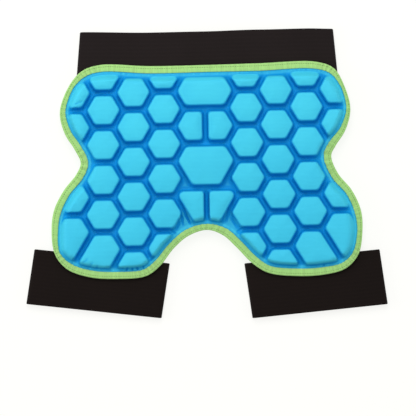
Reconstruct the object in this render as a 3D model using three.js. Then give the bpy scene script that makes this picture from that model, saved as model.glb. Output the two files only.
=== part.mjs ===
// Tailbone protector: a padded guard for the seat, held on by elastic round the waist and the thighs.
// One moulded foam pad with raised cells, a fold-over binding round its edge, a waistband sewn behind
// its top and a leg strap sewn behind each of its lower lobes.
// It lies flat on its back, as it would on a table: +Z up, +Y towards the waist, millimetres.

import * as THREE from 'three';
import { mergeVertices } from 'three/addons/utils/BufferGeometryUtils.js';

// The pad, with its binding on
const PAD_WIDTH = 342;
const PAD_HEIGHT = 239;
const FLANGE_THICKNESS = 2.2; // pressed edge of the foam, inside the binding
const PAD_MARGIN = 2.8; // bare strip between the binding and the cells, where the edge runs level
const SIDE_MARGIN = 1.5; // the same strip where the edge runs upright
const PAD_CROWN = 6; // how far the middle of the waist stands up when the guard lies down
const CROWN_START = 50; // from the pad's foot up to here it lies flat, on the leg straps
const CROWN_RUN = 100; // over this height it rises to its whole crown

// The binding tape, folded over the pad's edge
const TAPE_WIDTH = 8.4; // of its upper face, where all of it shows
const TAPE_THICKNESS = 1.0;
const TAPE_ROUNDING = 0.9;

// The raised cells, on a lattice of upright columns
const CELL_PITCH = 38.2; // from one cell to the next in a column
const COLUMN_PITCH = 33.5; // from one column to the next
const INNER_COLUMN_X = 45.8; // from the pad's axis to the first column of whole cells
const CELL_GAP = 3.0; // floor of the channel between two cells
const CELL_RISE = 9.0;
const CELL_CROWN = 0.7;
const CELL_DRAFT = 1.1; // how far a wall leans in, foot to shoulder
const CELL_ROUNDING = 1.7; // how far the shoulder rounds in to the top
const CELL_CORNER = 5.0; // radius that the two flats of a corner stand for
const CELL_TAPER = 5.0; // cells slope down to the seam over this width
const TAIL_CELL_EXTRA = 10.7; // the tailbone cell is this much longer than its neighbours
const LEAST_CELL_SHARE = 0.2; // a clipped cell smaller than this share of a whole one is left out
const FIELD_SHIFT = 1.0; // the moulded lattice sits this far left of the cut pad's middle,
const FIELD_TILT_DEG = 1.1; // is turned this much on it
const FIELD_FLARE = 0.043; // and is wider by this share at the pad's foot than at its top
const LOBE_CORNER_COLUMNS = 2; // in this many outermost columns the lowest cell fills the lobe's corner

// The elastic bands, each a loop that lies flat
const BAND_THICKNESS = 2.0;
const BAND_OPENING = 5.0; // room left inside a loop that lies flat
const WAIST_WIDTH = 279; // along its top edge
const WAIST_FLARE = 8; // its bottom corners lie this much further out than its top ones
const WAIST_HEIGHT = 90;
const WAIST_SHOWN = 38.5; // how much of it stands above the pad
const WAIST_TILT_DEG = 0.8;
const LEG_WIDTH = 150;
const LEG_HEIGHT = 61;
const LEG_TILT_DEG = 6;
const LEG_LEAN = 2.7; // the strap's foot lies this far further out than its top
const LEG_INSET = 50.8; // from the pad's widest point in to the strap's middle
const LEG_DROP = 5.4; // from the pad's lowest point down to the strap's middle

// Gap between pieces that are sewn together
const SEAM_GAP = 0.3;
const CROWN_SLACK = 0.2; // more room under the cells, whose flats cut the corners of the crown

// How finely curves are cut into flats
const OUTLINE_STEPS = 3; // between two rows of the outline
const BAND_STEPS_ACROSS = 12;
const BAND_STEPS_UP = 5;
const FOLD_STEPS = 4;
const LEAST_CORNER_DEG = 25; // corners of a cell that turn less than this stay as they are
const SHARPEST_DEG = 15; // a corner more pointed than this is only a leftover of two lines that cross
const LARGEST_CUT = 0.45; // a corner takes at most this share of its shorter side
const LARGEST_INSET = 0.9; // the walls of a small cell lean in by at most this share of what it can take

// The outline of the bound pad as it lies, from the waist down both sides to the crotch: shares of half
// the pad's width and height. Tape is the share of the tape's width on its upper face, which is less
// where the edge rolls down.
const OUTLINE = [
  { at: 'top run', left: { x: -0.367, y: 0.958, tape: 0.97 }, right: { x: 0.328, y: 0.984, tape: 1.00 } },
  { at: 'top corner', left: { x: -0.688, y: 0.970, tape: 0.93 }, right: { x: 0.700, y: 1.000, tape: 0.94 } },
  { at: 'shoulder', left: { x: -0.804, y: 0.914, tape: 0.87 }, right: { x: 0.816, y: 0.940, tape: 0.86 } },
  { at: 'upper side', left: { x: -0.888, y: 0.776, tape: 0.62 }, right: { x: 0.884, y: 0.776, tape: 0.46 } },
  { at: 'hip', left: { x: -0.947, y: 0.536, tape: 0.74 }, right: { x: 0.922, y: 0.564, tape: 0.54 } },
  { at: 'under hip', left: { x: -0.916, y: 0.338, tape: 0.87 }, right: { x: 0.890, y: 0.370, tape: 0.75 } },
  { at: 'over notch', left: { x: -0.852, y: 0.190, tape: 0.94 }, right: { x: 0.826, y: 0.223, tape: 1.00 } },
  { at: 'notch', left: { x: -0.813, y: 0.066, tape: 1.00 }, right: { x: 0.799, y: 0.135, tape: 1.00 } },
  { at: 'under notch', left: { x: -0.842, y: -0.040, tape: 1.00 }, right: { x: 0.842, y: -0.026, tape: 0.97 } },
  { at: 'flare', left: { x: -0.920, y: -0.183, tape: 0.93 }, right: { x: 0.932, y: -0.183, tape: 0.87 } },
  { at: 'thigh', left: { x: -0.984, y: -0.367, tape: 0.97 }, right: { x: 0.990, y: -0.367, tape: 0.88 } },
  { at: 'widest', left: { x: -1.000, y: -0.552, tape: 0.86 }, right: { x: 1.000, y: -0.552, tape: 0.68 } },
  { at: 'low side', left: { x: -0.979, y: -0.773, tape: 0.66 }, right: { x: 0.974, y: -0.773, tape: 0.78 } },
  { at: 'low corner', left: { x: -0.900, y: -0.911, tape: 0.90 }, right: { x: 0.893, y: -0.902, tape: 0.88 } },
  { at: 'lobe outer', left: { x: -0.753, y: -0.985, tape: 0.93 }, right: { x: 0.758, y: -0.959, tape: 1.00 } },
  { at: 'lobe foot', left: { x: -0.572, y: -1.000, tape: 0.93 }, right: { x: 0.572, y: -0.973, tape: 1.00 } },
  { at: 'lobe inner', left: { x: -0.392, y: -0.974, tape: 0.93 }, right: { x: 0.392, y: -0.942, tape: 0.94 } },
  { at: 'inner side', left: { x: -0.302, y: -0.880, tape: 0.94 }, right: { x: 0.289, y: -0.852, tape: 1.00 } },
  { at: 'arch side', left: { x: -0.212, y: -0.716, tape: 0.84 }, right: { x: 0.186, y: -0.704, tape: 1.00 } },
  { at: 'arch corner', left: { x: -0.116, y: -0.601, tape: 0.88 }, right: { x: 0.103, y: -0.598, tape: 1.00 } },
];
const OUTLINE_TOP = { x: 0, y: 0.968, tape: 0.93 };
const ARCH_TOP = { x: 0.003, y: -0.549, tape: 0.80 };

// The waistband's top edge as it lies: how far it strays from a straight line, both as shares of its
// width
const WAIST_EDGE = [
  { across: 0.00, rise: 0.0000 },
  { across: 0.28, rise: -0.0060 },
  { across: 0.48, rise: -0.0050 },
  { across: 0.71, rise: 0.0000 },
  { across: 0.90, rise: 0.0025 },
  { across: 1.00, rise: 0.0000 },
];

// Sizes that follow from those above
const LOOP_HEIGHT = 2 * BAND_THICKNESS + BAND_OPENING;
const FOLD_RADIUS = LOOP_HEIGHT / 2;
const CROWN_REACH = WAIST_WIDTH / 2 - FOLD_RADIUS;
const FLANGE_INSET = TAPE_THICKNESS + SEAM_GAP;
const FIELD_INSET = TAPE_WIDTH + PAD_MARGIN;
const TOP_Y = OUTLINE_TOP.y * PAD_HEIGHT / 2;
const TOP_ROW_Y = TOP_Y - FIELD_INSET - (CELL_PITCH - CELL_GAP) / 2;
const FIELD_FOOT_Y = FIELD_INSET - PAD_HEIGHT / 2;
const WHOLE_CELL_AREA = CELL_PITCH * COLUMN_PITCH;

const smooth = (t) => THREE.MathUtils.smoothstep(t, 0, 1);

// Height of the bands' upper face over the floor, which everything sewn to them follows
function lift(x, y) {
  const across = Math.min(1, Math.abs(x) / CROWN_REACH);
  const up = smooth((y + PAD_HEIGHT / 2 - CROWN_START) / CROWN_RUN);
  return LOOP_HEIGHT + PAD_CROWN * Math.cos(across * Math.PI / 2) ** 2 * up;
}

// Levels over the bands, for the pad and its binding
const SEAT = SEAM_GAP;
const FLANGE_FLOOR = SEAT + TAPE_THICKNESS + SEAM_GAP;
const WEB_TOP = FLANGE_FLOOR + FLANGE_THICKNESS;
const CELL_FLOOR = SEAT + CROWN_SLACK;

const around = (list, i) => list[(i + list.length) % list.length];

// The rows of the outline as one closed ring, anticlockwise
function outlineRing() {
  const left = OUTLINE.map((row) => row.left);
  const right = OUTLINE.map((row) => row.right);
  return [OUTLINE_TOP, ...left, ARCH_TOP, ...right.reverse()];
}

// A closed loop of points through the rows of the outline
function padOutline() {
  const ring = outlineRing().map(({ x, y }) => new THREE.Vector3(x * PAD_WIDTH / 2, y * PAD_HEIGHT / 2, 0));
  const curve = new THREE.CatmullRomCurve3(ring, true, 'centripetal');
  const points = curve.getPoints(ring.length * OUTLINE_STEPS).slice(0, -1);
  return points.map((p) => new THREE.Vector2(p.x, p.y));
}

// The width of the tape's upper face at each point of the outline
function tapeWidths() {
  const ring = outlineRing();
  return ring.flatMap((row, i) => Array.from({ length: OUTLINE_STEPS }, (_, step) => {
    const next = around(ring, i + 1);
    return TAPE_WIDTH * THREE.MathUtils.lerp(row.tape, next.tape, step / OUTLINE_STEPS);
  }));
}

// The unit normal of the edge from a to b that points into an anticlockwise loop
function inward(a, b) {
  return new THREE.Vector2(a.y - b.y, b.x - a.x).normalize();
}

// The way into a loop at one of its points that moves both edges there by one unit
function mitre(loop, i) {
  const before = inward(around(loop, i - 1), loop[i]);
  const after = inward(loop[i], around(loop, i + 1));
  return before.clone().add(after).divideScalar(1 + before.dot(after));
}

// The loop moved inwards, corner for corner, by a distance that may have its own value at each point
function insetBy(loop, distanceAt) {
  return loop.map((p, i) => p.clone().addScaledVector(mitre(loop, i), distanceAt(i)));
}

const inset = (loop, distance) => insetBy(loop, () => distance);

// The edge of the field of cells, further in along the level runs of the outline than the upright ones
function cellField(outline, widths) {
  return insetBy(outline, (i) => {
    const way = mitre(outline, i);
    const level = (way.y / way.length()) ** 2;
    return widths[i] + THREE.MathUtils.lerp(SIDE_MARGIN, PAD_MARGIN, level);
  });
}

// The furthest a loop can be inset before one of its edges is used up
function insetLimit(loop) {
  const turn = (i) => {
    const before = inward(around(loop, i - 1), around(loop, i));
    const after = inward(around(loop, i), around(loop, i + 1));
    return Math.atan2(before.cross(after), before.dot(after));
  };
  const limits = loop.map((p, i) => {
    const shrink = Math.tan(turn(i) / 2) + Math.tan(turn((i + 1) % loop.length) / 2);
    return shrink > 0 ? p.distanceTo(around(loop, i + 1)) / shrink : Infinity;
  });
  return Math.min(...limits);
}

// The part of a loop that lies on the inner side of a line, moved in by half a channel
function clip(loop, a, b, inside) {
  const normal = inward(a, b);
  if (normal.dot(inside.clone().sub(a)) < 0) normal.negate();
  const depth = (p) => normal.dot(p.clone().sub(a)) - CELL_GAP / 2;
  const kept = [];
  loop.forEach((p, i) => {
    const next = around(loop, i + 1);
    const here = depth(p);
    const there = depth(next);
    if (here >= 0) kept.push(p);
    if (here * there < 0) kept.push(p.clone().lerp(next, here / (here - there)));
  });
  return kept;
}

// The two ways along a loop from one of its points, and the angle between them inside the loop
function cornerAt(loop, i) {
  const from = around(loop, i - 1).clone().sub(loop[i]);
  const to = around(loop, i + 1).clone().sub(loop[i]);
  return { from, to, angle: from.angleTo(to) };
}

// The loop without the crowded points and thin spikes that a clip can leave
function thin(loop) {
  const least = CELL_CORNER / 3;
  const sharpest = THREE.MathUtils.degToRad(SHARPEST_DEG);
  const spread = loop.filter((p, i) => p.distanceTo(around(loop, i + 1)) > least);
  const blunt = spread.filter((p, i) => cornerAt(spread, i).angle > sharpest);
  return blunt.length < loop.length && blunt.length > 2 ? thin(blunt) : blunt;
}

// Each sharp corner of a loop cut back to two points, as far as its edges allow
function soften(loop) {
  const straight = Math.PI - THREE.MathUtils.degToRad(LEAST_CORNER_DEG);
  return loop.flatMap((p, i) => {
    const { from, to, angle } = cornerAt(loop, i);
    if (angle > straight) return [p];
    const room = LARGEST_CUT * Math.min(from.length(), to.length());
    const cut = Math.min(CELL_CORNER / Math.tan(angle / 2), room);
    return [from, to].map((way) => p.clone().addScaledVector(way.normalize(), cut));
  });
}

// Where a point of the cells' own lattice lies on the pad
function fieldPoint(x, y) {
  const spread = new THREE.Vector2(x * (1 - FIELD_FLARE * y / PAD_HEIGHT), y);
  spread.rotateAround(new THREE.Vector2(), THREE.MathUtils.degToRad(FIELD_TILT_DEG));
  return spread.sub(new THREE.Vector2(FIELD_SHIFT, 0));
}

const SIDES = ['upper outer', 'top', 'upper inner', 'lower inner', 'bottom', 'lower outer'];
const OPEN_IN_LOBE_CORNER = ['bottom', 'lower outer'];

// The sides of a six-sided cell, each as two points on its line. side is 1 right of the axis and -1
// left of it, stretch parts its left and right corners, and extra moves its bottom down.
function hexSides({ x, y, side = 1, stretch = 0, extra = 0 }) {
  const corner = (across, up) => {
    const apart = Math.sign(across) * stretch;
    return [side * (x + across * COLUMN_PITCH / 3 + apart), y + up * CELL_PITCH / 2];
  };
  const corners = [corner(2, 0), corner(1, 1), corner(-1, 1), corner(-2, 0), corner(-1, -1), corner(1, -1)];
  const sides = {};
  SIDES.forEach((name, i) => {
    sides[name] = [corners[i], around(corners, i + 1)];
  });
  sides.bottom = sides.bottom.map(([cx, cy]) => [cx, cy - extra]);
  return { centre: [side * x, y], sides };
}

// The foot of one cell: the part of the field that lies on a point's side of the cell's lines
function cellFoot(field, point, lines) {
  const inside = fieldPoint(...point);
  let foot = field;
  for (const [a, b] of lines) foot = clip(foot, fieldPoint(...a), fieldPoint(...b), inside);
  return foot;
}

// Cells of the columns on both sides of the axis, as many as the field holds. Every other column
// stands half a cell higher. In the outermost two the lowest cells run on to the seam, the outer of
// them half a cell over the inner.
function columnCells(field) {
  const feet = [];
  const columns = Math.floor((PAD_WIDTH / 2 - FIELD_INSET - INNER_COLUMN_X) / COLUMN_PITCH) + 1;
  let lowestY = FIELD_FOOT_Y + CELL_PITCH / 4;
  for (let column = 0; column < columns; column += 1) {
    const x = INNER_COLUMN_X + column * COLUMN_PITCH;
    const topY = TOP_ROW_Y + (column % 2 ? 0 : CELL_PITCH / 2);
    const wholeRows = Math.floor((topY - lowestY) / CELL_PITCH) + 1;
    const fillsCorner = column >= columns - LOBE_CORNER_COLUMNS;
    const rows = fillsCorner ? wholeRows : wholeRows + 1;
    if (fillsCorner) lowestY = topY - (rows - 1) * CELL_PITCH;
    for (let row = 0; row < rows; row += 1) {
      const open = fillsCorner && row === rows - 1 ? OPEN_IN_LOBE_CORNER : [];
      for (const side of [-1, 1]) {
        const { centre, sides } = hexSides({ x, y: topY - row * CELL_PITCH, side });
        const lines = SIDES.filter((name) => !open.includes(name)).map((name) => sides[name]);
        feet.push(cellFoot(field, centre, lines));
      }
    }
  }
  return feet;
}

// Cells on the axis: a wide one at the waist, a split pair, the long tailbone cell and a tapered pair
function axisCells(field) {
  const stretch = INNER_COLUMN_X - COLUMN_PITCH;
  const tailRow = 2;
  const rowY = (row) => TOP_ROW_Y - row * CELL_PITCH;
  const axis = [[0, 0], [0, CELL_PITCH]];
  const all = (cell) => Object.values(cell.sides);
  const waist = hexSides({ x: 0, y: rowY(0), stretch });
  const pair = hexSides({ x: 0, y: rowY(1), stretch });
  const tail = hexSides({ x: 0, y: rowY(tailRow), stretch, extra: TAIL_CELL_EXTRA });
  const feet = [cellFoot(field, waist.centre, all(waist)), cellFoot(field, tail.centre, all(tail))];
  for (const side of [-1, 1]) {
    feet.push(cellFoot(field, [side * stretch, rowY(1)], [...all(pair), axis]));
    const beside = hexSides({ x: INNER_COLUMN_X, y: rowY(tailRow + 1.5), side });
    const taper = [tail.sides.bottom, axis, beside.sides['upper inner']];
    feet.push(cellFoot(field, [side * stretch, rowY(tailRow + 1)], taper));
  }
  return feet;
}

// The feet of all cells, with soft corners, without those that are only slivers
function cellFeet(field) {
  const feet = [...columnCells(field), ...axisCells(field)].map(thin);
  const whole = feet.filter((foot) => foot.length > 2
    && THREE.ShapeUtils.area(foot) > LEAST_CELL_SHARE * WHOLE_CELL_AREA);
  return whole.map(soften);
}

// Distance from a point to a closed loop
function distanceTo(loop, p) {
  const nearest = new THREE.Vector3();
  const edge = new THREE.Line3();
  const target = new THREE.Vector3(p.x, p.y, 0);
  const gaps = loop.map((a, i) => {
    const b = around(loop, i + 1);
    edge.set(new THREE.Vector3(a.x, a.y, 0), new THREE.Vector3(b.x, b.y, 0));
    return edge.closestPointToPoint(target, true, nearest).distanceTo(target);
  });
  return Math.min(...gaps);
}

// Turns the shared edge of two triangles wherever that leaves both less pointed
function evenOut(triangles, points) {
  const LEAST_GAIN = 0.001;
  const way = (from, to) => points[to].clone().sub(points[from]);
  const angleAt = (apex, a, b) => way(apex, a).angleTo(way(apex, b));
  let turned = true;
  while (turned) {
    turned = false;
    const owners = new Map();
    triangles.forEach(([a, b, c], t) => {
      owners.set(`${a} ${b}`, [t, c]).set(`${b} ${c}`, [t, a]).set(`${c} ${a}`, [t, b]);
    });
    const done = new Set();
    for (const [edge, [t, c]] of owners) {
      const [a, b] = edge.split(' ').map(Number);
      const twin = owners.get(`${b} ${a}`);
      if (!twin) continue;
      const [other, d] = twin;
      if (done.has(t) || done.has(other)) continue;
      if (angleAt(c, a, b) + angleAt(d, a, b) < Math.PI + LEAST_GAIN) continue;
      triangles[t] = [c, a, d];
      triangles[other] = [d, b, c];
      done.add(t).add(other);
      turned = true;
    }
  }
  return triangles;
}

// Collects the faces of one solid. Each loop of points goes in as a run of vertices.
class Shell {
  constructor() {
    this.positions = [];
    this.faces = [];
  }

  // Adds a loop at a level over the bands and returns its first vertex and length
  loop(points, level) {
    const start = this.positions.length / 3;
    for (const p of points) this.positions.push(p.x, p.y, lift(p.x, p.y) + level(p));
    return { start, count: points.length };
  }

  // Joins two loops of the same length. The outside is on the right of the first loop's direction.
  join(lower, upper) {
    for (let i = 0; i < lower.count; i += 1) {
      const next = (i + 1) % lower.count;
      this.quad(lower.start + i, lower.start + next, upper.start + next, upper.start + i);
    }
  }

  quad(a, b, c, d) {
    this.faces.push(a, b, c, a, c, d);
  }

  // Closes a loop with a fan from its middle, facing up or down
  fan(loop, points, level, up) {
    const middle = points.reduce((sum, p) => sum.add(p), new THREE.Vector2()).divideScalar(points.length);
    const hub = this.loop([middle], () => level).start;
    for (let i = 0; i < loop.count; i += 1) {
      const a = loop.start + i;
      const b = loop.start + (i + 1) % loop.count;
      this.faces.push(hub, up ? a : b, up ? b : a);
    }
  }

  // Fills the space between a loop and the loops inside it, facing up or down
  fill(outer, outerPoints, holes, holePoints, up) {
    const clockwise = holePoints.map((points) => [...points].reverse());
    const ids = ({ start, count }) => Array.from({ length: count }, (_, i) => start + i);
    const order = [...ids(outer), ...holes.flatMap((hole) => ids(hole).reverse())];
    const points = [...outerPoints, ...clockwise.flat()];
    const triangles = THREE.ShapeUtils.triangulateShape([...outerPoints], clockwise);
    const way = (from, to) => points[to].clone().sub(points[from]);
    const turned = triangles.reduce((sum, [a, b, c]) => sum + way(a, b).cross(way(a, c)), 0) < 0;
    if (turned) triangles.forEach((triangle) => triangle.reverse());
    for (const [a, b, c] of evenOut(triangles, points)) {
      this.faces.push(order[a], order[up ? b : c], order[up ? c : b]);
    }
  }

  geometry() {
    const made = new THREE.BufferGeometry();
    made.setAttribute('position', new THREE.Float32BufferAttribute(this.positions, 3));
    made.setIndex(this.faces);
    const merged = mergeVertices(made);
    merged.computeVertexNormals();
    return merged;
  }
}

// The moulded pad: a pressed flange and web with cells standing on it
function padGeometry(outline, widths) {
  const shell = new Shell();
  const field = cellField(outline, widths);
  const feet = cellFeet(field);
  const rim = inset(outline, FLANGE_INSET);
  const seam = insetBy(outline, (i) => widths[i] + SEAM_GAP);
  const at = (level) => () => level;

  const seamTop = shell.loop(seam, at(WEB_TOP));
  const rimTop = shell.loop(rim, at(WEB_TOP));
  const rimFloor = shell.loop(rim, at(FLANGE_FLOOR));
  const seamFloor = shell.loop(seam, at(FLANGE_FLOOR));
  shell.join(rimTop, seamTop);
  shell.join(rimFloor, rimTop);
  shell.join(seamFloor, rimFloor);

  const topFeet = feet.map((foot) => shell.loop(foot, at(WEB_TOP)));
  const floorFeet = feet.map((foot) => shell.loop(foot, at(CELL_FLOOR)));
  shell.fill(seamTop, seam, topFeet, feet, true);
  shell.fill(seamFloor, seam, floorFeet, feet, false);

  feet.forEach((foot, i) => {
    const lean = CELL_DRAFT + CELL_ROUNDING;
    const reach = Math.min(1, LARGEST_INSET * insetLimit(foot) / lean);
    const shoulder = inset(foot, CELL_DRAFT * reach);
    const top = inset(foot, lean * reach);
    const rise = (share) => (p) => WEB_TOP + share * CELL_RISE * smooth(distanceTo(field, p) / CELL_TAPER);
    const shoulderLoop = shell.loop(shoulder, rise(1 - CELL_ROUNDING / CELL_RISE));
    const topLoop = shell.loop(top, rise(1));
    shell.join(topFeet[i], shoulderLoop);
    shell.join(shoulderLoop, topLoop);
    shell.fan(topLoop, top, WEB_TOP + CELL_RISE + CELL_CROWN, true);
    shell.fan(floorFeet[i], foot, CELL_FLOOR, false);
  });
  return shell.geometry();
}

// The binding: a tape folded over the flange all the way round, open towards the pad
function bindingGeometry(outline, widths) {
  const height = 2 * (TAPE_THICKNESS + SEAM_GAP) + FLANGE_THICKNESS;
  const section = [
    { in: TAPE_WIDTH, up: 0 },
    { in: TAPE_ROUNDING, up: 0 },
    { in: 0, up: TAPE_ROUNDING },
    { in: 0, up: height - TAPE_ROUNDING },
    { in: TAPE_ROUNDING, up: height },
    { in: TAPE_WIDTH, up: height },
    { in: TAPE_WIDTH, up: height - TAPE_THICKNESS },
    { in: TAPE_THICKNESS, up: height - TAPE_THICKNESS },
    { in: TAPE_THICKNESS, up: TAPE_THICKNESS },
    { in: TAPE_WIDTH, up: TAPE_THICKNESS },
  ];
  const shell = new Shell();
  const loops = section.map((corner) => {
    const loop = insetBy(outline, (i) => Math.min(corner.in, widths[i]));
    return shell.loop(loop, () => SEAT + corner.up);
  });
  loops.forEach((loop, i) => shell.join(loop, around(loops, i + 1)));
  return shell.geometry();
}

// How far the waistband's top edge strays at a share of its width
function waistEdge(across) {
  const next = WAIST_EDGE.findIndex((row) => row.across >= across);
  if (next < 1) return WAIST_EDGE[0].rise * WAIST_WIDTH;
  const [a, b] = [WAIST_EDGE[next - 1], WAIST_EDGE[next]];
  const between = smooth((across - a.across) / (b.across - a.across));
  return THREE.MathUtils.lerp(a.rise, b.rise, between) * WAIST_WIDTH;
}

// One section of a loop that lies flat: a lower layer on the floor, a round fold at each end and an
// upper layer. Each point has its place across and its height over the middle of the folds.
function loopSection(halfWidth, inner) {
  const hub = halfWidth - FOLD_RADIUS;
  const radius = inner ? FOLD_RADIUS - BAND_THICKNESS : FOLD_RADIUS;
  const layer = (from, to, upper) => Array.from({ length: BAND_STEPS_ACROSS }, (_, i) => ({
    across: THREE.MathUtils.lerp(from, to, i / BAND_STEPS_ACROSS),
    up: upper ? radius : -radius,
    upper,
  }));
  const fold = (side) => Array.from({ length: FOLD_STEPS }, (_, i) => {
    const angle = (i / FOLD_STEPS - 0.5) * Math.PI;
    const across = side * (hub + radius * Math.cos(angle));
    return { across, up: side * radius * Math.sin(angle), upper: false };
  });
  return [...layer(-hub, hub, false), ...fold(1), ...layer(hub, -hub, true), ...fold(-1)];
}

// A band sewn into a loop and laid flat, its upper layer under the crown of the pad. widthAt gives its
// width at a share of its height, and place puts a point of it on the floor.
function bandGeometry({ widthAt, height, place }) {
  const shell = new Shell();
  const rings = [];
  for (let i = 0; i <= BAND_STEPS_UP; i += 1) {
    const share = i / BAND_STEPS_UP;
    const half = widthAt(share) / 2;
    const pair = [false, true].map((inner) => {
      const start = shell.positions.length / 3;
      const section = loopSection(half, inner);
      for (const { across, up, upper } of section) {
        const along = (share - 0.5) * height;
        const p = place({ across, along, share, acrossShare: 0.5 + across / half / 2 });
        const crown = upper ? lift(p.x, p.y) - LOOP_HEIGHT : 0;
        shell.positions.push(p.x, p.y, FOLD_RADIUS + up + crown);
      }
      return { start, count: section.length };
    });
    rings.push(pair);
  }
  for (let i = 0; i < BAND_STEPS_UP; i += 1) {
    shell.join(rings[i + 1][0], rings[i][0]);
    shell.join(rings[i][1], rings[i + 1][1]);
  }
  shell.join(rings[0][0], rings[0][1]);
  shell.join(rings[BAND_STEPS_UP][1], rings[BAND_STEPS_UP][0]);
  return shell.geometry();
}

function waistbandGeometry() {
  const tilt = THREE.MathUtils.degToRad(WAIST_TILT_DEG);
  const middle = new THREE.Vector2(0, TOP_Y + WAIST_SHOWN - WAIST_HEIGHT / 2);
  return bandGeometry({
    widthAt: (share) => WAIST_WIDTH + 2 * WAIST_FLARE * (1 - share),
    height: WAIST_HEIGHT,
    place: ({ across, along, share, acrossShare }) => {
      const wave = share * waistEdge(acrossShare);
      return new THREE.Vector2(across, along + wave).rotateAround(new THREE.Vector2(), tilt).add(middle);
    },
  });
}

// side is -1 for the left strap and 1 for the right one
function legStrapGeometry(side) {
  const tilt = THREE.MathUtils.degToRad(side * LEG_TILT_DEG);
  const middle = new THREE.Vector2(side * (PAD_WIDTH / 2 - LEG_INSET), -PAD_HEIGHT / 2 - LEG_DROP);
  return bandGeometry({
    widthAt: () => LEG_WIDTH,
    height: LEG_HEIGHT,
    place: ({ across, along, share }) => {
      const lean = side * LEG_LEAN * (0.5 - share);
      return new THREE.Vector2(across + lean, along).rotateAround(new THREE.Vector2(), tilt).add(middle);
    },
  });
}

const MATERIALS = {
  foam: new THREE.MeshStandardMaterial({ color: 0x2fc0f0, roughness: 0.5, metalness: 0 }),
  tape: new THREE.MeshStandardMaterial({ color: 0x9ad16f, roughness: 0.75, metalness: 0 }),
  elastic: new THREE.MeshStandardMaterial({ color: 0x201a1a, roughness: 0.85, metalness: 0 }),
};

function piece(name, geometry, material) {
  const mesh = new THREE.Mesh(geometry, material);
  mesh.name = name;
  return mesh;
}

function tailboneProtector() {
  const outline = padOutline();
  const widths = tapeWidths();
  const group = new THREE.Group();
  group.add(
    piece('pad', padGeometry(outline, widths), MATERIALS.foam),
    piece('edge_binding', bindingGeometry(outline, widths), MATERIALS.tape),
    piece('waistband', waistbandGeometry(), MATERIALS.elastic),
    piece('leg_strap_left', legStrapGeometry(-1), MATERIALS.elastic),
    piece('leg_strap_right', legStrapGeometry(1), MATERIALS.elastic),
  );
  // The origin is on the floor under the middle of the whole guard
  const middle = new THREE.Box3().setFromObject(group).getCenter(new THREE.Vector3());
  group.position.set(-middle.x, -middle.y, 0);
  group.updateMatrixWorld(true);
  return group;
}

export default tailboneProtector();
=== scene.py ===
"""A tailbone protector laid flat for a photograph: padded guard, bound edge, waistband and leg straps."""

import math
from collections import namedtuple

import bpy
import numpy as np
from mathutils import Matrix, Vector, noise
from mathutils.geometry import delaunay_2d_cdt
from mathutils.kdtree import KDTree


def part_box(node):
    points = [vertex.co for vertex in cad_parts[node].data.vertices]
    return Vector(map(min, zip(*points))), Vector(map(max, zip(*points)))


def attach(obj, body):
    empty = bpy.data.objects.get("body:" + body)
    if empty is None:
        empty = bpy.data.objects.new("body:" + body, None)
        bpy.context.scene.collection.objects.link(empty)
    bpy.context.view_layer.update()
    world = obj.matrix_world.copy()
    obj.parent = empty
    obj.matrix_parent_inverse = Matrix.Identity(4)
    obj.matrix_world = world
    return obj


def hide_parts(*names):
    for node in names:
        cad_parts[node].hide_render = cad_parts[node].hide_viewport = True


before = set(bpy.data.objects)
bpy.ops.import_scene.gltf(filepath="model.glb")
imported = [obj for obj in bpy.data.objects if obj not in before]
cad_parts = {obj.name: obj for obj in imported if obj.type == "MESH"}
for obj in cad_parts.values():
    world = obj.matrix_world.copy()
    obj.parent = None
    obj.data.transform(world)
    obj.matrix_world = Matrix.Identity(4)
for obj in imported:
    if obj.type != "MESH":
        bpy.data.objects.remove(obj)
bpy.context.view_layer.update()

bl_info = {
    "name": "Tailbone Protector",
    "version": (1, 0, 0),
    "blender": (4, 5, 0),
    "location": "View3D > Sidebar > Guard",
    "description": "Makes a padded seat guard with moulded cells, a bound edge and elastic bands",
    "category": "Mesh",
}

MM = 0.001


def linear(code):
    """Turns an sRGB hex colour into linear red, green, blue and alpha."""
    shares = [int(code[i:i + 2], 16) / 255 for i in (0, 2, 4)]
    return tuple(c / 12.92 if c <= 0.04045 else ((c + 0.055) / 1.055) ** 2.4 for c in shares) + (1.0,)


def length(name, description, millimetres):
    """A property that holds a length."""
    return bpy.props.FloatProperty(
        name=name, description=description, default=millimetres * MM, min=0.0, precision=5, unit="LENGTH"
    )


def angle(name, description, degrees):
    """A property that holds an angle."""
    return bpy.props.FloatProperty(
        name=name, description=description, default=math.radians(degrees), subtype="ANGLE"
    )


def power(name, description, watts):
    """A property that holds the power of a light."""
    return bpy.props.FloatProperty(name=name, description=description, default=watts, min=0.0, unit="POWER")


def colour(name, description, code):
    """A property that holds a colour."""
    return bpy.props.FloatVectorProperty(
        name=name, description=description, default=linear(code), size=4, min=0.0, max=1.0, subtype="COLOR"
    )


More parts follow.
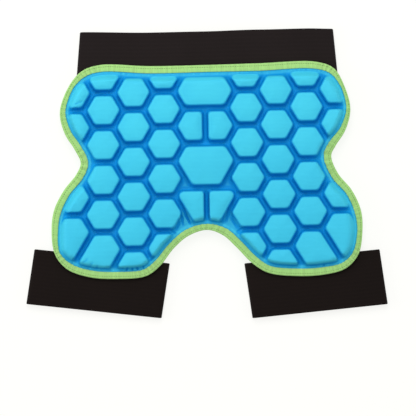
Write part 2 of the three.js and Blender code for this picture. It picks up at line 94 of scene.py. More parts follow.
class GuardPadSettings(bpy.types.PropertyGroup):
    """Sizes and colours of the moulded pad."""

    width: length("Width", "Width of the pad over its binding", 342)
    height: length("Height", "Height of the pad over its binding", 239)
    margin: length("Margin", "Bare strip between the binding and the cells, where the edge runs level", 2.8)
    side_margin: length("Side margin", "The same strip where the edge runs upright", 1.5)
    crown: length("Crown", "How far the middle of the waist stands up when the guard lies down", 6)
    crown_start: length("Crown start", "Height from the pad's foot where the crown begins", 50)
    crown_run: length("Crown run", "Height over which the crown rises", 100)
    crown_reach: length("Crown reach", "Half the width of the crown", 135)
    cell_pitch: length("Cell pitch", "From one cell to the next in a column", 38.2)
    column_pitch: length("Column pitch", "From one column of cells to the next", 33.5)
    inner_column: length("Inner column", "From the axis to the first column of whole cells", 45.8)
    cell_gap: length("Cell gap", "Floor of the channel between two cells", 3.0)
    cell_rise: length("Cell rise", "Height of a cell over the channels", 9.0)
    cell_crown: length("Cell crown", "How far the middle of a cell bulges over its shoulders", 1.7)
    cell_corner: length("Cell corner", "Radius of a cell's corners", 5.0)
    cell_taper: length("Cell taper", "Width over which the outer cells slope down to the seam", 8.0)
    tail_extra: length("Tail cell extra", "How much longer the tailbone cell is", 10.7)
    # The knit's colour is mixed from the pale one towards the deep one by a painted shade that the pad's mesh
    # carries. The deep colour stands in for the shade and blue bounce light in the channels, folds and on
    # walls that face away from the light.
    fabric: colour("Fabric", "Knit on top of the cells, where it is stretched thin over the foam", "41c6e3")
    fabric_shaded: colour("Fabric, deep", "Knit pressed into the channels, its dye at full depth", "0090d4")


class GuardTapeSettings(bpy.types.PropertyGroup):
    """Sizes and colours of the binding tape and its thread."""

    width: length("Width", "Width of the tape's upper face, where all of it shows", 8.4)
    thickness: length("Thickness", "Thickness of the folded tape", 1.0)
    fold: length("Fold radius", "Radius of the fold round the pad's edge", 1.6)
    stitch_inset: length("Stitch inset", "From the tape's outer edge to its row of stitches", 2.9)
    stitch_pitch: length("Stitch pitch", "From one stitch to the next", 2.6)
    thread: length("Thread", "Thickness of the thread", 0.5)
    pucker: length("Pucker", "Height of the gathers where the tape turns tightly", 0.25)
    pucker_pitch: length("Pucker pitch", "From one gather to the next", 5.2)
    tape: colour("Tape", "Light green of the tape", "a4d67e")
    thread_colour: colour("Thread", "Green of the thread, which sits in its own shadow", "5f8a48")


class GuardBandSettings(bpy.types.PropertyGroup):
    """Sizes and colours of the elastic bands."""

    thickness: length("Thickness", "Thickness of the elastic", 2.0)
    opening: length("Opening", "Room left inside a loop that lies flat", 5.0)
    waist_width: length("Waist width", "Width of the waistband along its top edge", 279)
    waist_flare: length("Waist flare", "How far its bottom corners lie further out", 8)
    waist_height: length("Waist height", "Height of the waistband", 90)
    waist_shown: length("Waist shown", "How much of the waistband stands above the pad", 38.5)
    waist_tilt: angle("Waist tilt", "How far the waistband lies turned", 0.8)
    leg_width: length("Leg width", "Width of a leg strap as it lies", 150)
    leg_height: length("Leg height", "Height of a leg strap", 61)
    leg_lean: length("Leg lean", "How far a strap's foot lies further out than its top", 2.7)
    leg_inset: length("Leg inset", "From the pad's widest point in to a strap's middle", 50.8)
    leg_drop: length("Leg drop", "From the pad's lowest point down to a strap's middle", 5.4)
    leg_tilt: angle("Leg tilt", "How far each leg strap lies turned", 6)
    elastic: colour("Elastic", "Black of the waistband's elastic", "1f1919")
    leg_elastic: colour("Leg elastic", "Black of the leg straps' elastic, a shade deeper", "17100e")


class GuardStageSettings(bpy.types.PropertyGroup):
    """The floor, the light and the camera."""

    floor: colour("Floor", "White of the sheet that the guard lies on", "fbfbf8")
    frame_width: length("Frame width", "Width of the floor that the picture takes in", 457.6)
    camera_height: length("Camera height", "Height of the camera over the floor", 3000)
    sky: bpy.props.FloatProperty(
        name="Sky", description="Strength of the light from all round", default=0.52, min=0.0
    )
    key: power("Key light", "Power of the soft light above the waist", 10.6)
    left_fill: power("Left fill", "Power of the soft light low on the left", 9.0)
    right_fill: power("Right fill", "Power of the soft light low on the right", 4.0)


# The outline of the bound pad as it lies, from the waist down both sides to the crotch: shares of half
# the pad's width and height. Tape is the share of the tape's width on its upper face, which is less
# where the edge rolls down.
Row = namedtuple("Row", "left_x left_y left_tape right_x right_y right_tape")
OUTLINE = [
    Row(-0.367, 0.958, 0.97, 0.328, 0.984, 1.00),
    Row(-0.688, 0.970, 0.93, 0.700, 1.000, 0.94),
    Row(-0.804, 0.914, 0.87, 0.816, 0.940, 0.86),
    Row(-0.888, 0.776, 0.62, 0.884, 0.776, 0.46),
    Row(-0.947, 0.536, 0.74, 0.922, 0.564, 0.54),
    Row(-0.916, 0.338, 0.87, 0.890, 0.370, 0.75),
    Row(-0.852, 0.190, 0.94, 0.826, 0.223, 1.00),
    Row(-0.813, 0.066, 1.00, 0.799, 0.135, 1.00),
    Row(-0.842, -0.040, 1.00, 0.842, -0.026, 0.97),
    Row(-0.920, -0.183, 0.93, 0.932, -0.183, 0.87),
    Row(-0.984, -0.367, 0.97, 0.990, -0.367, 0.88),
    Row(-1.000, -0.552, 0.86, 1.000, -0.552, 0.68),
    Row(-0.979, -0.773, 0.66, 0.974, -0.773, 0.78),
    Row(-0.900, -0.911, 0.90, 0.893, -0.902, 0.88),
    Row(-0.753, -0.985, 0.93, 0.758, -0.959, 1.00),
    Row(-0.572, -1.000, 0.93, 0.572, -0.973, 1.00),
    Row(-0.392, -0.974, 0.93, 0.392, -0.942, 0.94),
    Row(-0.302, -0.880, 0.94, 0.289, -0.852, 1.00),
    Row(-0.212, -0.716, 0.84, 0.186, -0.704, 1.00),
    Row(-0.116, -0.601, 0.88, 0.103, -0.598, 1.00),
]
OUTLINE_TOP = (0.0, 0.968, 0.93)
ARCH_TOP = (0.003, -0.549, 0.80)
OUTLINE_STEPS = 12
EDGE_SPACING = 1.6 * MM
COARSE_SPACING = 3 * MM

# The waistband's top edge: places across it and how far it stands up there, as shares of its width
WAIST_EDGE = [(0.0, 0.0), (0.28, -0.0060), (0.48, -0.0050), (0.71, 0.0), (0.90, 0.0025), (1.0, 0.0)]

# Levels over the bands, and the pressed edge of the foam
SEAT = 0.3 * MM
SEAM_GAP = 0.3 * MM
FLANGE = 2.2 * MM
CELL_FLOOR = 0.5 * MM

# How the lattice of cells sits on the cut pad, and how small a cut cell may be
FIELD_SHIFT = 1.0 * MM
FIELD_TILT = math.radians(1.1)
FIELD_FLARE = 0.043
LEAST_CELL_SHARE = 0.2
LOBE_CORNER_COLUMNS = 2
SIDES = ["upper outer", "top", "upper inner", "lower inner", "bottom", "lower outer"]
OPEN_IN_LOBE_CORNER = ["bottom", "lower outer"]

# A cell's wall from foot to top: how far in it stands, in millimetres, and its share of the rise
Step = namedtuple("Step", "inset share")
CELL_WALL = [
    Step(0.0, 0.00),
    Step(0.55, 0.08),
    Step(1.0, 0.27),
    Step(1.45, 0.54),
    Step(1.9, 0.77),
    Step(2.4, 0.905),
    Step(3.1, 0.975),
    Step(4.2, 1.0),
]
SEAM_WALL_SHARE = 0.3
TOP_RINGS = [0.88, 0.76, 0.6, 0.42, 0.22]
SHOULDER_BULGE = 0.12
CELL_RAYS = 72
RAY_TURNS = np.arange(CELL_RAYS) * 2 * math.pi / CELL_RAYS
RAY_WAYS = np.column_stack([np.cos(RAY_TURNS), np.sin(RAY_TURNS)])

# The channels: rounding at a cell's foot, hollow of the floor and how it sets in, and how its points lie
FOOT_FILLET = 0.5 * MM
FILLET_REACH = 0.7 * MM
CHANNEL_HOLLOW = 0.35 * MM
HOLLOW_REACH = 1.8 * MM
CHANNEL_SPACING = 1.15 * MM
FOOT_CLEARANCE = 0.6 * MM
SEAM_CLEARANCE = 0.9 * MM

# The plain back: how far apart its points lie, and how far in from the seam it stands down
BACK_SPACING = 6 * MM
BACK_SLOPE = 9 * MM

# Painted shade on the knit, from 0 where its pale lit colour shows to 1 where its deep colour shows in full.
# It stands in for the shade in channels, folds and creases, and on walls and slopes that look away from the
# light.
SEAM_SHADE = 0.6
BACK_SHADE = 0.3
TOP_SHADE = 0.16
FEET_SHADE = 0.13
SLOPE_SHADE = 0.95
WIDE_CHANNEL_SHADE = 0.55

# In millimetres: how far in from a cell's foot the painted shade starts to fade, over what width, and how
# much more where the wall looks towards the feet, away from the key light. Then how far out from a foot a
# channel's painted shade starts to fade too, and over what width.
SHADE_START, SHADE_FADE, SHADE_FADE_DOWNWARD = 1.0, 2.8, 1.2
WIDE_GAP, WIDENING = 2.2, 3.0

# How much of a shade shows at the seam where it runs upright, how much more where it runs level, and
# over what width the rest sets in
UPRIGHT_SHARE, LEVEL_SHARE = 0.05, 0.5
MARGIN_FADE = 2.5 * MM

# Soft unevenness of the knit: size of the waves, their height and the place in the noise that they come from.
# The gathers along the seam are counted in points of the seam.
Waves = namedtuple("Waves", "size height seed")
CELL_WAVES = Waves(9 * MM, 0.22 * MM, 3.0)
CHANNEL_WAVES = Waves(7 * MM, 0.25 * MM, 7.0)
SEAM_GATHERS = Waves(1.7, 1.0, 11.0)
GATHER_HEIGHT = 0.7 * MM
GATHER_PLACE, GATHER_REACH = 1.2 * MM, 2.0 * MM

# Soft dents and folds of the knit, seen on the pad: place of the middle, length, width and depth in
# millimetres, turn in degrees. A ridge stands on each side of a fold.
Fold = namedtuple("Fold", "x y length width depth turn")
FOLDS = [
    Fold(-22.7, -50, 17, 2.2, 1.5, -66),
    Fold(-27.4, -53.5, 14, 2.2, 1.3, -80),
    Fold(-21.0, -54.5, 11, 2.0, 1.1, -62),
    Fold(-32.0, -60.5, 9, 2.2, 0.8, -118),
    Fold(-37.5, -67, 8, 1.8, 0.8, -40),
    Fold(22.9, -50, 13, 2.6, 0.9, 78),
    Fold(30.0, -58, 10, 2.2, 0.7, 125),
    Fold(36.5, -65, 8, 1.8, 0.6, 35),
    Fold(-0.7, -37, 27, 4.2, 1.5, 90),
    Fold(-88, -109, 5, 2.2, 0.9, 78),
    Fold(-82, -109, 4, 2.0, 0.8, 92),
    Fold(-76, -109, 5, 2.2, 0.9, 104),
    Fold(-70, -107, 4, 2.0, 0.6, 95),
    Fold(-60, -97, 8, 2.2, 0.8, 50),
    Fold(-133, -99, 8, 2.2, 0.7, 45),
    Fold(-127, -103, 7, 2.2, 0.7, 58),
    Fold(-121, -106, 5, 2.2, 0.5, 70),
    Fold(-141, 74, 8, 1.8, 0.7, 20),
    Fold(-44, 111, 6, 1.8, 0.4, 80),
    Fold(129, -105, 5, 1.5, 0.7, 110),
    Fold(93, -109, 6, 1.6, 0.4, 90),
]
# A ridge's place in half widths and its share of the depth, a fold's reach in half lengths, and how far
# apart the points over it lie, in millimetres
RIDGE_PLACE = 1.9
RIDGE_SHARE = 0.4
FOLD_REACH = 1.4
FOLD_SPACING = 0.62


def smooth(t):
    """Smooth step from 0 to 1."""
    t = np.clip(t, 0.0, 1.0)
    return t * t * (3 - 2 * t)


def turned(points, turn):
    """Points turned about the origin."""
    c, s = math.cos(turn), math.sin(turn)
    return np.asarray(points) @ np.array([[c, s], [-s, c]])


def lift(points):
    """Height of the bands' upper face, which everything sewn to them follows."""
    pad, band = bpy.context.scene.guard_pad, bpy.context.scene.guard_bands
    across = np.minimum(1, np.abs(points[:, 0]) / pad.crown_reach)
    up = smooth((points[:, 1] + pad.height / 2 - pad.crown_start) / pad.crown_run)
    return 2 * band.thickness + band.opening + pad.crown * np.cos(across * math.pi / 2) ** 2 * up


def unevenness(points, waves):
    """Soft random height, the same on each run."""
    places = points / waves.size
    return np.array([noise.noise(Vector((x, y, waves.seed))) for x, y in places]) * waves.height


def tree_of(points):
    """A tree that finds the nearest of some points."""
    tree = KDTree(len(points))
    for number, point in enumerate(points):
        tree.insert((*point, 0), number)
    tree.balance()
    return tree


def nearest(tree, points):
    """For each point, the number of the tree's nearest point and how far off it is."""
    found = [tree.find((*point, 0)) for point in points]
    return np.array([number for _, number, _ in found]), np.array([away for _, _, away in found])


def through(points, steps):
    """A smooth closed loop through the points, with a number of steps between each two."""
    p0, p1, p2, p3 = (np.roll(points, k, axis=0) for k in (1, 0, -1, -2))
    pairs = ((p0, p1), (p1, p2), (p2, p3))
    d0, d1, d2 = (np.linalg.norm(b - a, axis=1, keepdims=True) ** 0.5 for a, b in pairs)
    start = ((p1 - p0) / d0 - (p2 - p0) / (d0 + d1) + (p2 - p1) / d1) * d1
    end = ((p2 - p1) / d1 - (p3 - p1) / (d1 + d2) + (p3 - p2) / d2) * d1
    t = np.arange(steps)[:, None, None] / steps
    square, cube = 3 * (p2 - p1) - 2 * start - end, 2 * (p1 - p2) + start + end
    curve = p1 + t * start + t ** 2 * square + t ** 3 * cube
    return curve.transpose(1, 0, 2).reshape(-1, 2)


def evenly(loop, spacing):
    """A closed loop again with its points evenly apart, and what else it gives for each point."""
    closed = np.vstack([loop, loop[:1]])
    along = np.concatenate([[0], np.cumsum(np.linalg.norm(np.diff(closed[:, :2], axis=0), axis=1))])
    places = np.arange(round(along[-1] / spacing)) * along[-1] / round(along[-1] / spacing)
    return np.column_stack([np.interp(places, along, column) for column in closed.T])


def ways_in(loop):
    """The way into an anticlockwise loop at each of its points that moves both edges there by one unit."""
    edge = np.roll(loop, -1, axis=0) - loop
    normal = np.column_stack([-edge[:, 1], edge[:, 0]]) / np.linalg.norm(edge, axis=1, keepdims=True)
    before = np.roll(normal, 1, axis=0)
    return (before + normal) / (1 + np.sum(before * normal, axis=1, keepdims=True))


def inset(loop, distance):
    """An anticlockwise loop moved inwards, by one distance or by one for each of its points."""
    return loop + np.reshape(distance, (-1, 1)) * ways_in(loop)


def levelness(loop):
    """From 0 where a loop runs upright to 1 where it runs level."""
    way = ways_in(loop)
    return way[:, 1] ** 2 / np.sum(way ** 2, axis=1)


def area(loop):
    """Area inside an anticlockwise loop."""
    after = np.roll(loop, -1, axis=0)
    return np.sum(loop[:, 0] * after[:, 1] - after[:, 0] * loop[:, 1]) / 2


def distance_to(loop, points):
    """Distance from each point to a closed loop."""
    a, b = loop, np.roll(loop, -1, axis=0)
    edge = b - a
    square = np.sum(edge * edge, axis=1)
    result = []
    for chunk in np.array_split(points, max(1, len(points) // 4000)):
        way = chunk[:, None, :] - a
        share = np.clip(np.sum(way * edge, axis=2) / square, 0, 1)
        result.append(np.sqrt(((way - share[..., None] * edge) ** 2).sum(axis=2)).min(axis=1))
    return np.concatenate(result)


def is_inside(loop, points):
    """Which points lie inside a closed loop."""
    a, b = loop, np.roll(loop, -1, axis=0)
    rise = np.where(b[:, 1] == a[:, 1], 1, b[:, 1] - a[:, 1])
    result = []
    for chunk in np.array_split(points, max(1, len(points) // 4000)):
        x, y = chunk[:, :1], chunk[:, 1:]
        spans = (a[:, 1] > y) != (b[:, 1] > y)
        crossed = x < (b[:, 0] - a[:, 0]) * (y - a[:, 1]) / rise + a[:, 0]
        result.append(np.sum(spans & crossed, axis=1) % 2 == 1)
    return np.concatenate(result)


def grid(low, high, pitch):
    """Points of a triangular grid between two corners."""
    rows = np.arange(low[1], high[1], pitch * math.sqrt(0.75))
    lines = []
    for i, y in enumerate(rows):
        x = np.arange(low[0] + pitch / 2 * (i % 2), high[0], pitch)
        lines.append(np.column_stack([x, np.full(len(x), y)]))
    return np.vstack(lines)


def bound_edge():
    """The outer edge of the bound pad, anticlockwise, and the width of the tape's upper face along it."""
    pad, tape = bpy.context.scene.guard_pad, bpy.context.scene.guard_tape
    left = [(row.left_x, row.left_y, row.left_tape) for row in OUTLINE]
    right = [(row.right_x, row.right_y, row.right_tape) for row in reversed(OUTLINE)]
    rows = np.array([OUTLINE_TOP, *left, ARCH_TOP, *right]) * [pad.width / 2, pad.height / 2, tape.width]
    between = np.arange(OUTLINE_STEPS) / OUTLINE_STEPS
    widths = rows[:, 2:] + (np.roll(rows[:, 2:], -1, axis=0) - rows[:, 2:]) * between
    edge = evenly(np.column_stack([through(rows[:, :2], OUTLINE_STEPS), widths.ravel()]), EDGE_SPACING)
    return edge[:, :2], edge[:, 2]


def cell_field(outline, widths):
    """The edge of the field of cells, further in along the level runs of the outline."""
    pad = bpy.context.scene.guard_pad
    return inset(outline, widths + pad.side_margin + (pad.margin - pad.side_margin) * levelness(outline))


def to_frame(points):
    """Places points of the pad's own plan in the row frame, by the middle of the bound edge."""
    low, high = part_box("edge_binding")
    outline = bound_edge()[0]
    middle = (outline.min(axis=0) + outline.max(axis=0)) / 2
    shift = np.array([(low[0] + high[0]) / 2, (low[1] + high[1]) / 2]) - middle
    placed = np.array(points)
    placed[:, :2] += shift
    return placed


def clip(loop, a, b, inside, away):
    """The part of a loop that lies on the inner side of a line, at some distance from it."""
    way = b - a
    normal = np.array([-way[1], way[0]]) / np.linalg.norm(way)
    if normal @ (inside - a) < 0:
        normal = -normal
    depth = (loop - a) @ normal - away
    kept = []
    for i, here in enumerate(depth):
        after = (i + 1) % len(loop)
        if here >= 0:
            kept.append(loop[i])
        if here * depth[after] < 0:
            kept.append(loop[i] + (loop[after] - loop[i]) * here / (here - depth[after]))
    return np.array(kept)


def field_point(point):
    """Where a point of the cells' own lattice lies on the pad."""
    pad = bpy.context.scene.guard_pad
    spread = [point[0] * (1 - FIELD_FLARE * point[1] / pad.height), point[1]]
    return turned(spread, FIELD_TILT) - [FIELD_SHIFT, 0]


def hex_sides(x, y, side=1, stretch=0.0, extra=0.0):
    """The sides of a six-sided cell by name, each as two points on its line."""
    pad = bpy.context.scene.guard_pad

    def corner(across, up):
        apart = np.sign(across) * stretch
        return np.array([side * (x + across * pad.column_pitch / 3 + apart), y + up * pad.cell_pitch / 2])

    corners = [corner(2, 0), corner(1, 1), corner(-1, 1), corner(-2, 0), corner(-1, -1), corner(1, -1)]
    sides = {name: (corners[i], corners[(i + 1) % 6]) for i, name in enumerate(SIDES)}
    sides["bottom"] = tuple(point - [0, extra] for point in sides["bottom"])
    return sides


def cell_plans():
    """Every cell as a point inside it and the lines that bound it."""
    pad, tape = bpy.context.scene.guard_pad, bpy.context.scene.guard_tape
    field_inset = tape.width + pad.margin
    top_row = OUTLINE_TOP[1] * pad.height / 2 - field_inset - (pad.cell_pitch - pad.cell_gap) / 2
    lowest = field_inset - pad.height / 2 + pad.cell_pitch / 4
    columns = math.floor((pad.width / 2 - field_inset - pad.inner_column) / pad.column_pitch) + 1
    plans = []
    for column in range(columns):
        x = pad.inner_column + column * pad.column_pitch
        top = top_row + (0 if column % 2 else pad.cell_pitch / 2)
        whole_rows = math.floor((top - lowest) / pad.cell_pitch) + 1
        fills_corner = column >= columns - LOBE_CORNER_COLUMNS
        rows = whole_rows if fills_corner else whole_rows + 1
        if fills_corner:
            lowest = top - (rows - 1) * pad.cell_pitch
        for row in range(rows):
            skipped = OPEN_IN_LOBE_CORNER if fills_corner and row == rows - 1 else []
            y = top - row * pad.cell_pitch
            for side in (-1, 1):
                lines = [line for name, line in hex_sides(x, y, side).items() if name not in skipped]
                plans.append((np.array([side * x, y]), lines))

    # On the axis: a wide cell, a split pair, the long tailbone cell and a tapered split pair
    stretch = pad.inner_column - pad.column_pitch
    axis = (np.array([0.0, 0.0]), np.array([0.0, pad.cell_pitch]))
    row_y = [top_row - row * pad.cell_pitch for row in range(4)]
    waist, pair = (hex_sides(0, row_y[row], 1, stretch) for row in (0, 1))
    tail = hex_sides(0, row_y[2], 1, stretch, pad.tail_extra)
    plans.append((np.array([0.0, row_y[0]]), list(waist.values())))
    plans.append((np.array([0.0, row_y[2]]), list(tail.values())))
    for side in (-1, 1):
        plans.append((np.array([side * stretch, row_y[1]]), [*pair.values(), axis]))
        beside = [hex_sides(pad.inner_column, row_y[3] + up * pad.cell_pitch / 2, side) for up in (1, -1)]
        lines = [tail["bottom"], axis, beside[0]["lower inner"], beside[1]["upper inner"]]
        plans.append((np.array([side * stretch, row_y[3]]), lines))
    return plans


def cell_loop(field, plan, away):
    """A cell's plan at some distance in from its foot."""
    pad = bpy.context.scene.guard_pad
    point, lines = plan
    inside = field_point(point)
    loop = field
    for a, b in lines:
        if len(loop) > 2:
            loop = clip(loop, field_point(a), field_point(b), inside, pad.cell_gap / 2 + away)
    return loop


def reach(loop, centre):
    """How far a loop is from a point inside it, along the rays of a cell."""
    least, slack = 1e-12, 1e-6
    a = loop - centre
    edge = np.roll(a, -1, axis=0) - a
    cross = RAY_WAYS[:, :1] * edge[:, 1] - RAY_WAYS[:, 1:] * edge[:, 0]
    cross = np.where(np.abs(cross) < least, least, cross)
    far = (a[:, 0] * edge[:, 1] - a[:, 1] * edge[:, 0]) / cross
    share = (a[:, 0] * RAY_WAYS[:, 1:] - a[:, 1] * RAY_WAYS[:, :1]) / cross
    return np.where((far > 0) & (share >= -slack) & (share <= 1 + slack), far, np.inf).min(axis=1)


def softened(radii, corner):
    """Rays' lengths with the corners of their loop rounded to about a radius, by a blur round the loop."""
    blur_for_radius = 3.3
    spread = corner / blur_for_radius / radii.mean()
    steps = np.arange(CELL_RAYS)
    turns = np.minimum(steps, CELL_RAYS - steps) * 2 * math.pi / CELL_RAYS
    kernel = np.exp(-0.5 * (turns / spread) ** 2)
    return np.real(np.fft.ifft(np.fft.fft(radii) * np.fft.fft(kernel / kernel.sum())))


class Cell:
    """One raised cell: its middle and the lengths of its rays at each step of its wall."""

    def __init__(self, fields, plan):
        pad = bpy.context.scene.guard_pad
        self.rings = []
        foot = cell_loop(fields[0], plan, 0)
        if len(foot) < 3 or area(foot) < LEAST_CELL_SHARE * pad.cell_pitch * pad.column_pitch:
            return
        self.centre = evenly(foot, 0.5 * MM).mean(axis=0)
        radii = reach(foot, self.centre)
        # In a narrow cell the wall is drawn together, so that it never crosses the middle
        steep = min(1.0, 0.8 * radii.min() / (CELL_WALL[-1].inset * MM))
        for step, field in zip(CELL_WALL, fields):
            loop = cell_loop(field, plan, step.inset * MM)
            inner = reach(loop, self.centre) if len(loop) > 2 else radii * 0
            inner = np.where(np.isfinite(inner), inner, 0)
            lengths = radii + (inner - radii) * steep
            self.rings.append(softened(np.maximum(lengths, 0.1 * radii), pad.cell_corner))

    def ring(self, lengths):
        """The points at the ends of the rays."""
        return self.centre + RAY_WAYS * np.reshape(lengths, (-1, 1))

    def holds(self, points):
        """Which points lie over the cell's foot."""
        way = points - self.centre
        turn = np.arctan2(way[:, 1], way[:, 0]) % (2 * math.pi) * CELL_RAYS / (2 * math.pi)
        foot = np.append(self.rings[0], self.rings[0][0])
        return np.hypot(way[:, 0], way[:, 1]) < np.interp(turn, np.arange(CELL_RAYS + 1), foot)


def pairs_round(count, start=0):
    """Each point of a closed loop with the next one, by their numbers."""
    return [(start + i, start + (i + 1) % count) for i in range(count)]


def fill(loops, inner):
    """Triangles between closed loops, with more points inside them. The first loop is the outer one."""
    points = np.vstack([*loops, inner])
    walls, seeds = set(), set()
    start = 0
    for loop in loops:
        run = pairs_round(len(loop), start)
        walls.update(run)
        seeds.update(run if start == 0 else [(b, a) for a, b in run])
        start += len(loop)
    made = delaunay_2d_cdt([Vector(p) for p in points], list(walls), [], 0, 1e-9)
    if len(made[0]) != len(points):
        raise RuntimeError("two loops of the pad cross each other")
    source = [names[0] for names in made[3]]
    faces = [[source[v] for v in face] for face in made[2]]
    owner = {(face[i - 1], face[i]): number for number, face in enumerate(faces) for i in range(3)}
    kept, waiting = set(), [owner[edge] for edge in seeds]
    while waiting:
        number = waiting.pop()
        if number in kept:
            continue
        kept.add(number)
        face = faces[number]
        for a, b in ((face[i - 1], face[i]) for i in range(3)):
            if (a, b) not in walls and (b, a) not in walls:
                waiting.append(owner[b, a])
    return np.array([faces[number] for number in sorted(kept)])


def mark(mesh, title, values):
    """Gives each point of a mesh a number or a way, under a title that its tree or material reads."""
    values = np.array(values, np.float32)
    kind, part = ("FLOAT_VECTOR", "vector") if values.ndim == 2 else ("FLOAT", "value")
    mesh.attributes.new(title, kind, "POINT").data.foreach_set(part, values.ravel())


def fold_depth(points):
    """How far the folds in the knit lie below the surface around them, with a ridge on each side."""
    depth = np.zeros(len(points))
    for fold in FOLDS:
        way = turned(points - np.array([fold.x, fold.y]) * MM, -math.radians(fold.turn)) / MM
        along, beside = way[:, 0] * 2 / fold.length, np.abs(way[:, 1]) * 2 / fold.width
        section = np.exp(-beside ** 2) - RIDGE_SHARE * np.exp(-(beside - RIDGE_PLACE) ** 2)
        near = (np.abs(along) < FOLD_REACH) & (beside < 4)
        depth += fold.depth * MM * np.where(near, np.exp(-along ** 4) * section, 0)
    return depth


def fold_points():
    """Points close together over each fold."""
    pieces = []
    for fold in FOLDS:
        corner = np.array([fold.length * FOLD_REACH / 2, fold.width * RIDGE_PLACE])
        patch = grid(-corner, corner, FOLD_SPACING) * MM
        pieces.append(turned(patch, math.radians(fold.turn)) + np.array([fold.x, fold.y]) * MM)
    points = np.vstack(pieces)
    tree = tree_of(points)
    # Where two folds cross, only the first one's points stay
    first = [min(number for _, number, _ in tree.find_range((*point, 0), 0.35 * MM)) for point in points]
    return points[np.array(first) == np.arange(len(points))]


# Points on the pad's upper side and what lies round them: the number of the seam's point beside each, how far
# in the field it lies, its share of the way up the outer slope, the painted shade on that slope where it
# looks towards the feet, and the depth of the folds
Spots = namedtuple("Spots", "plan beside inside up gathered folded")


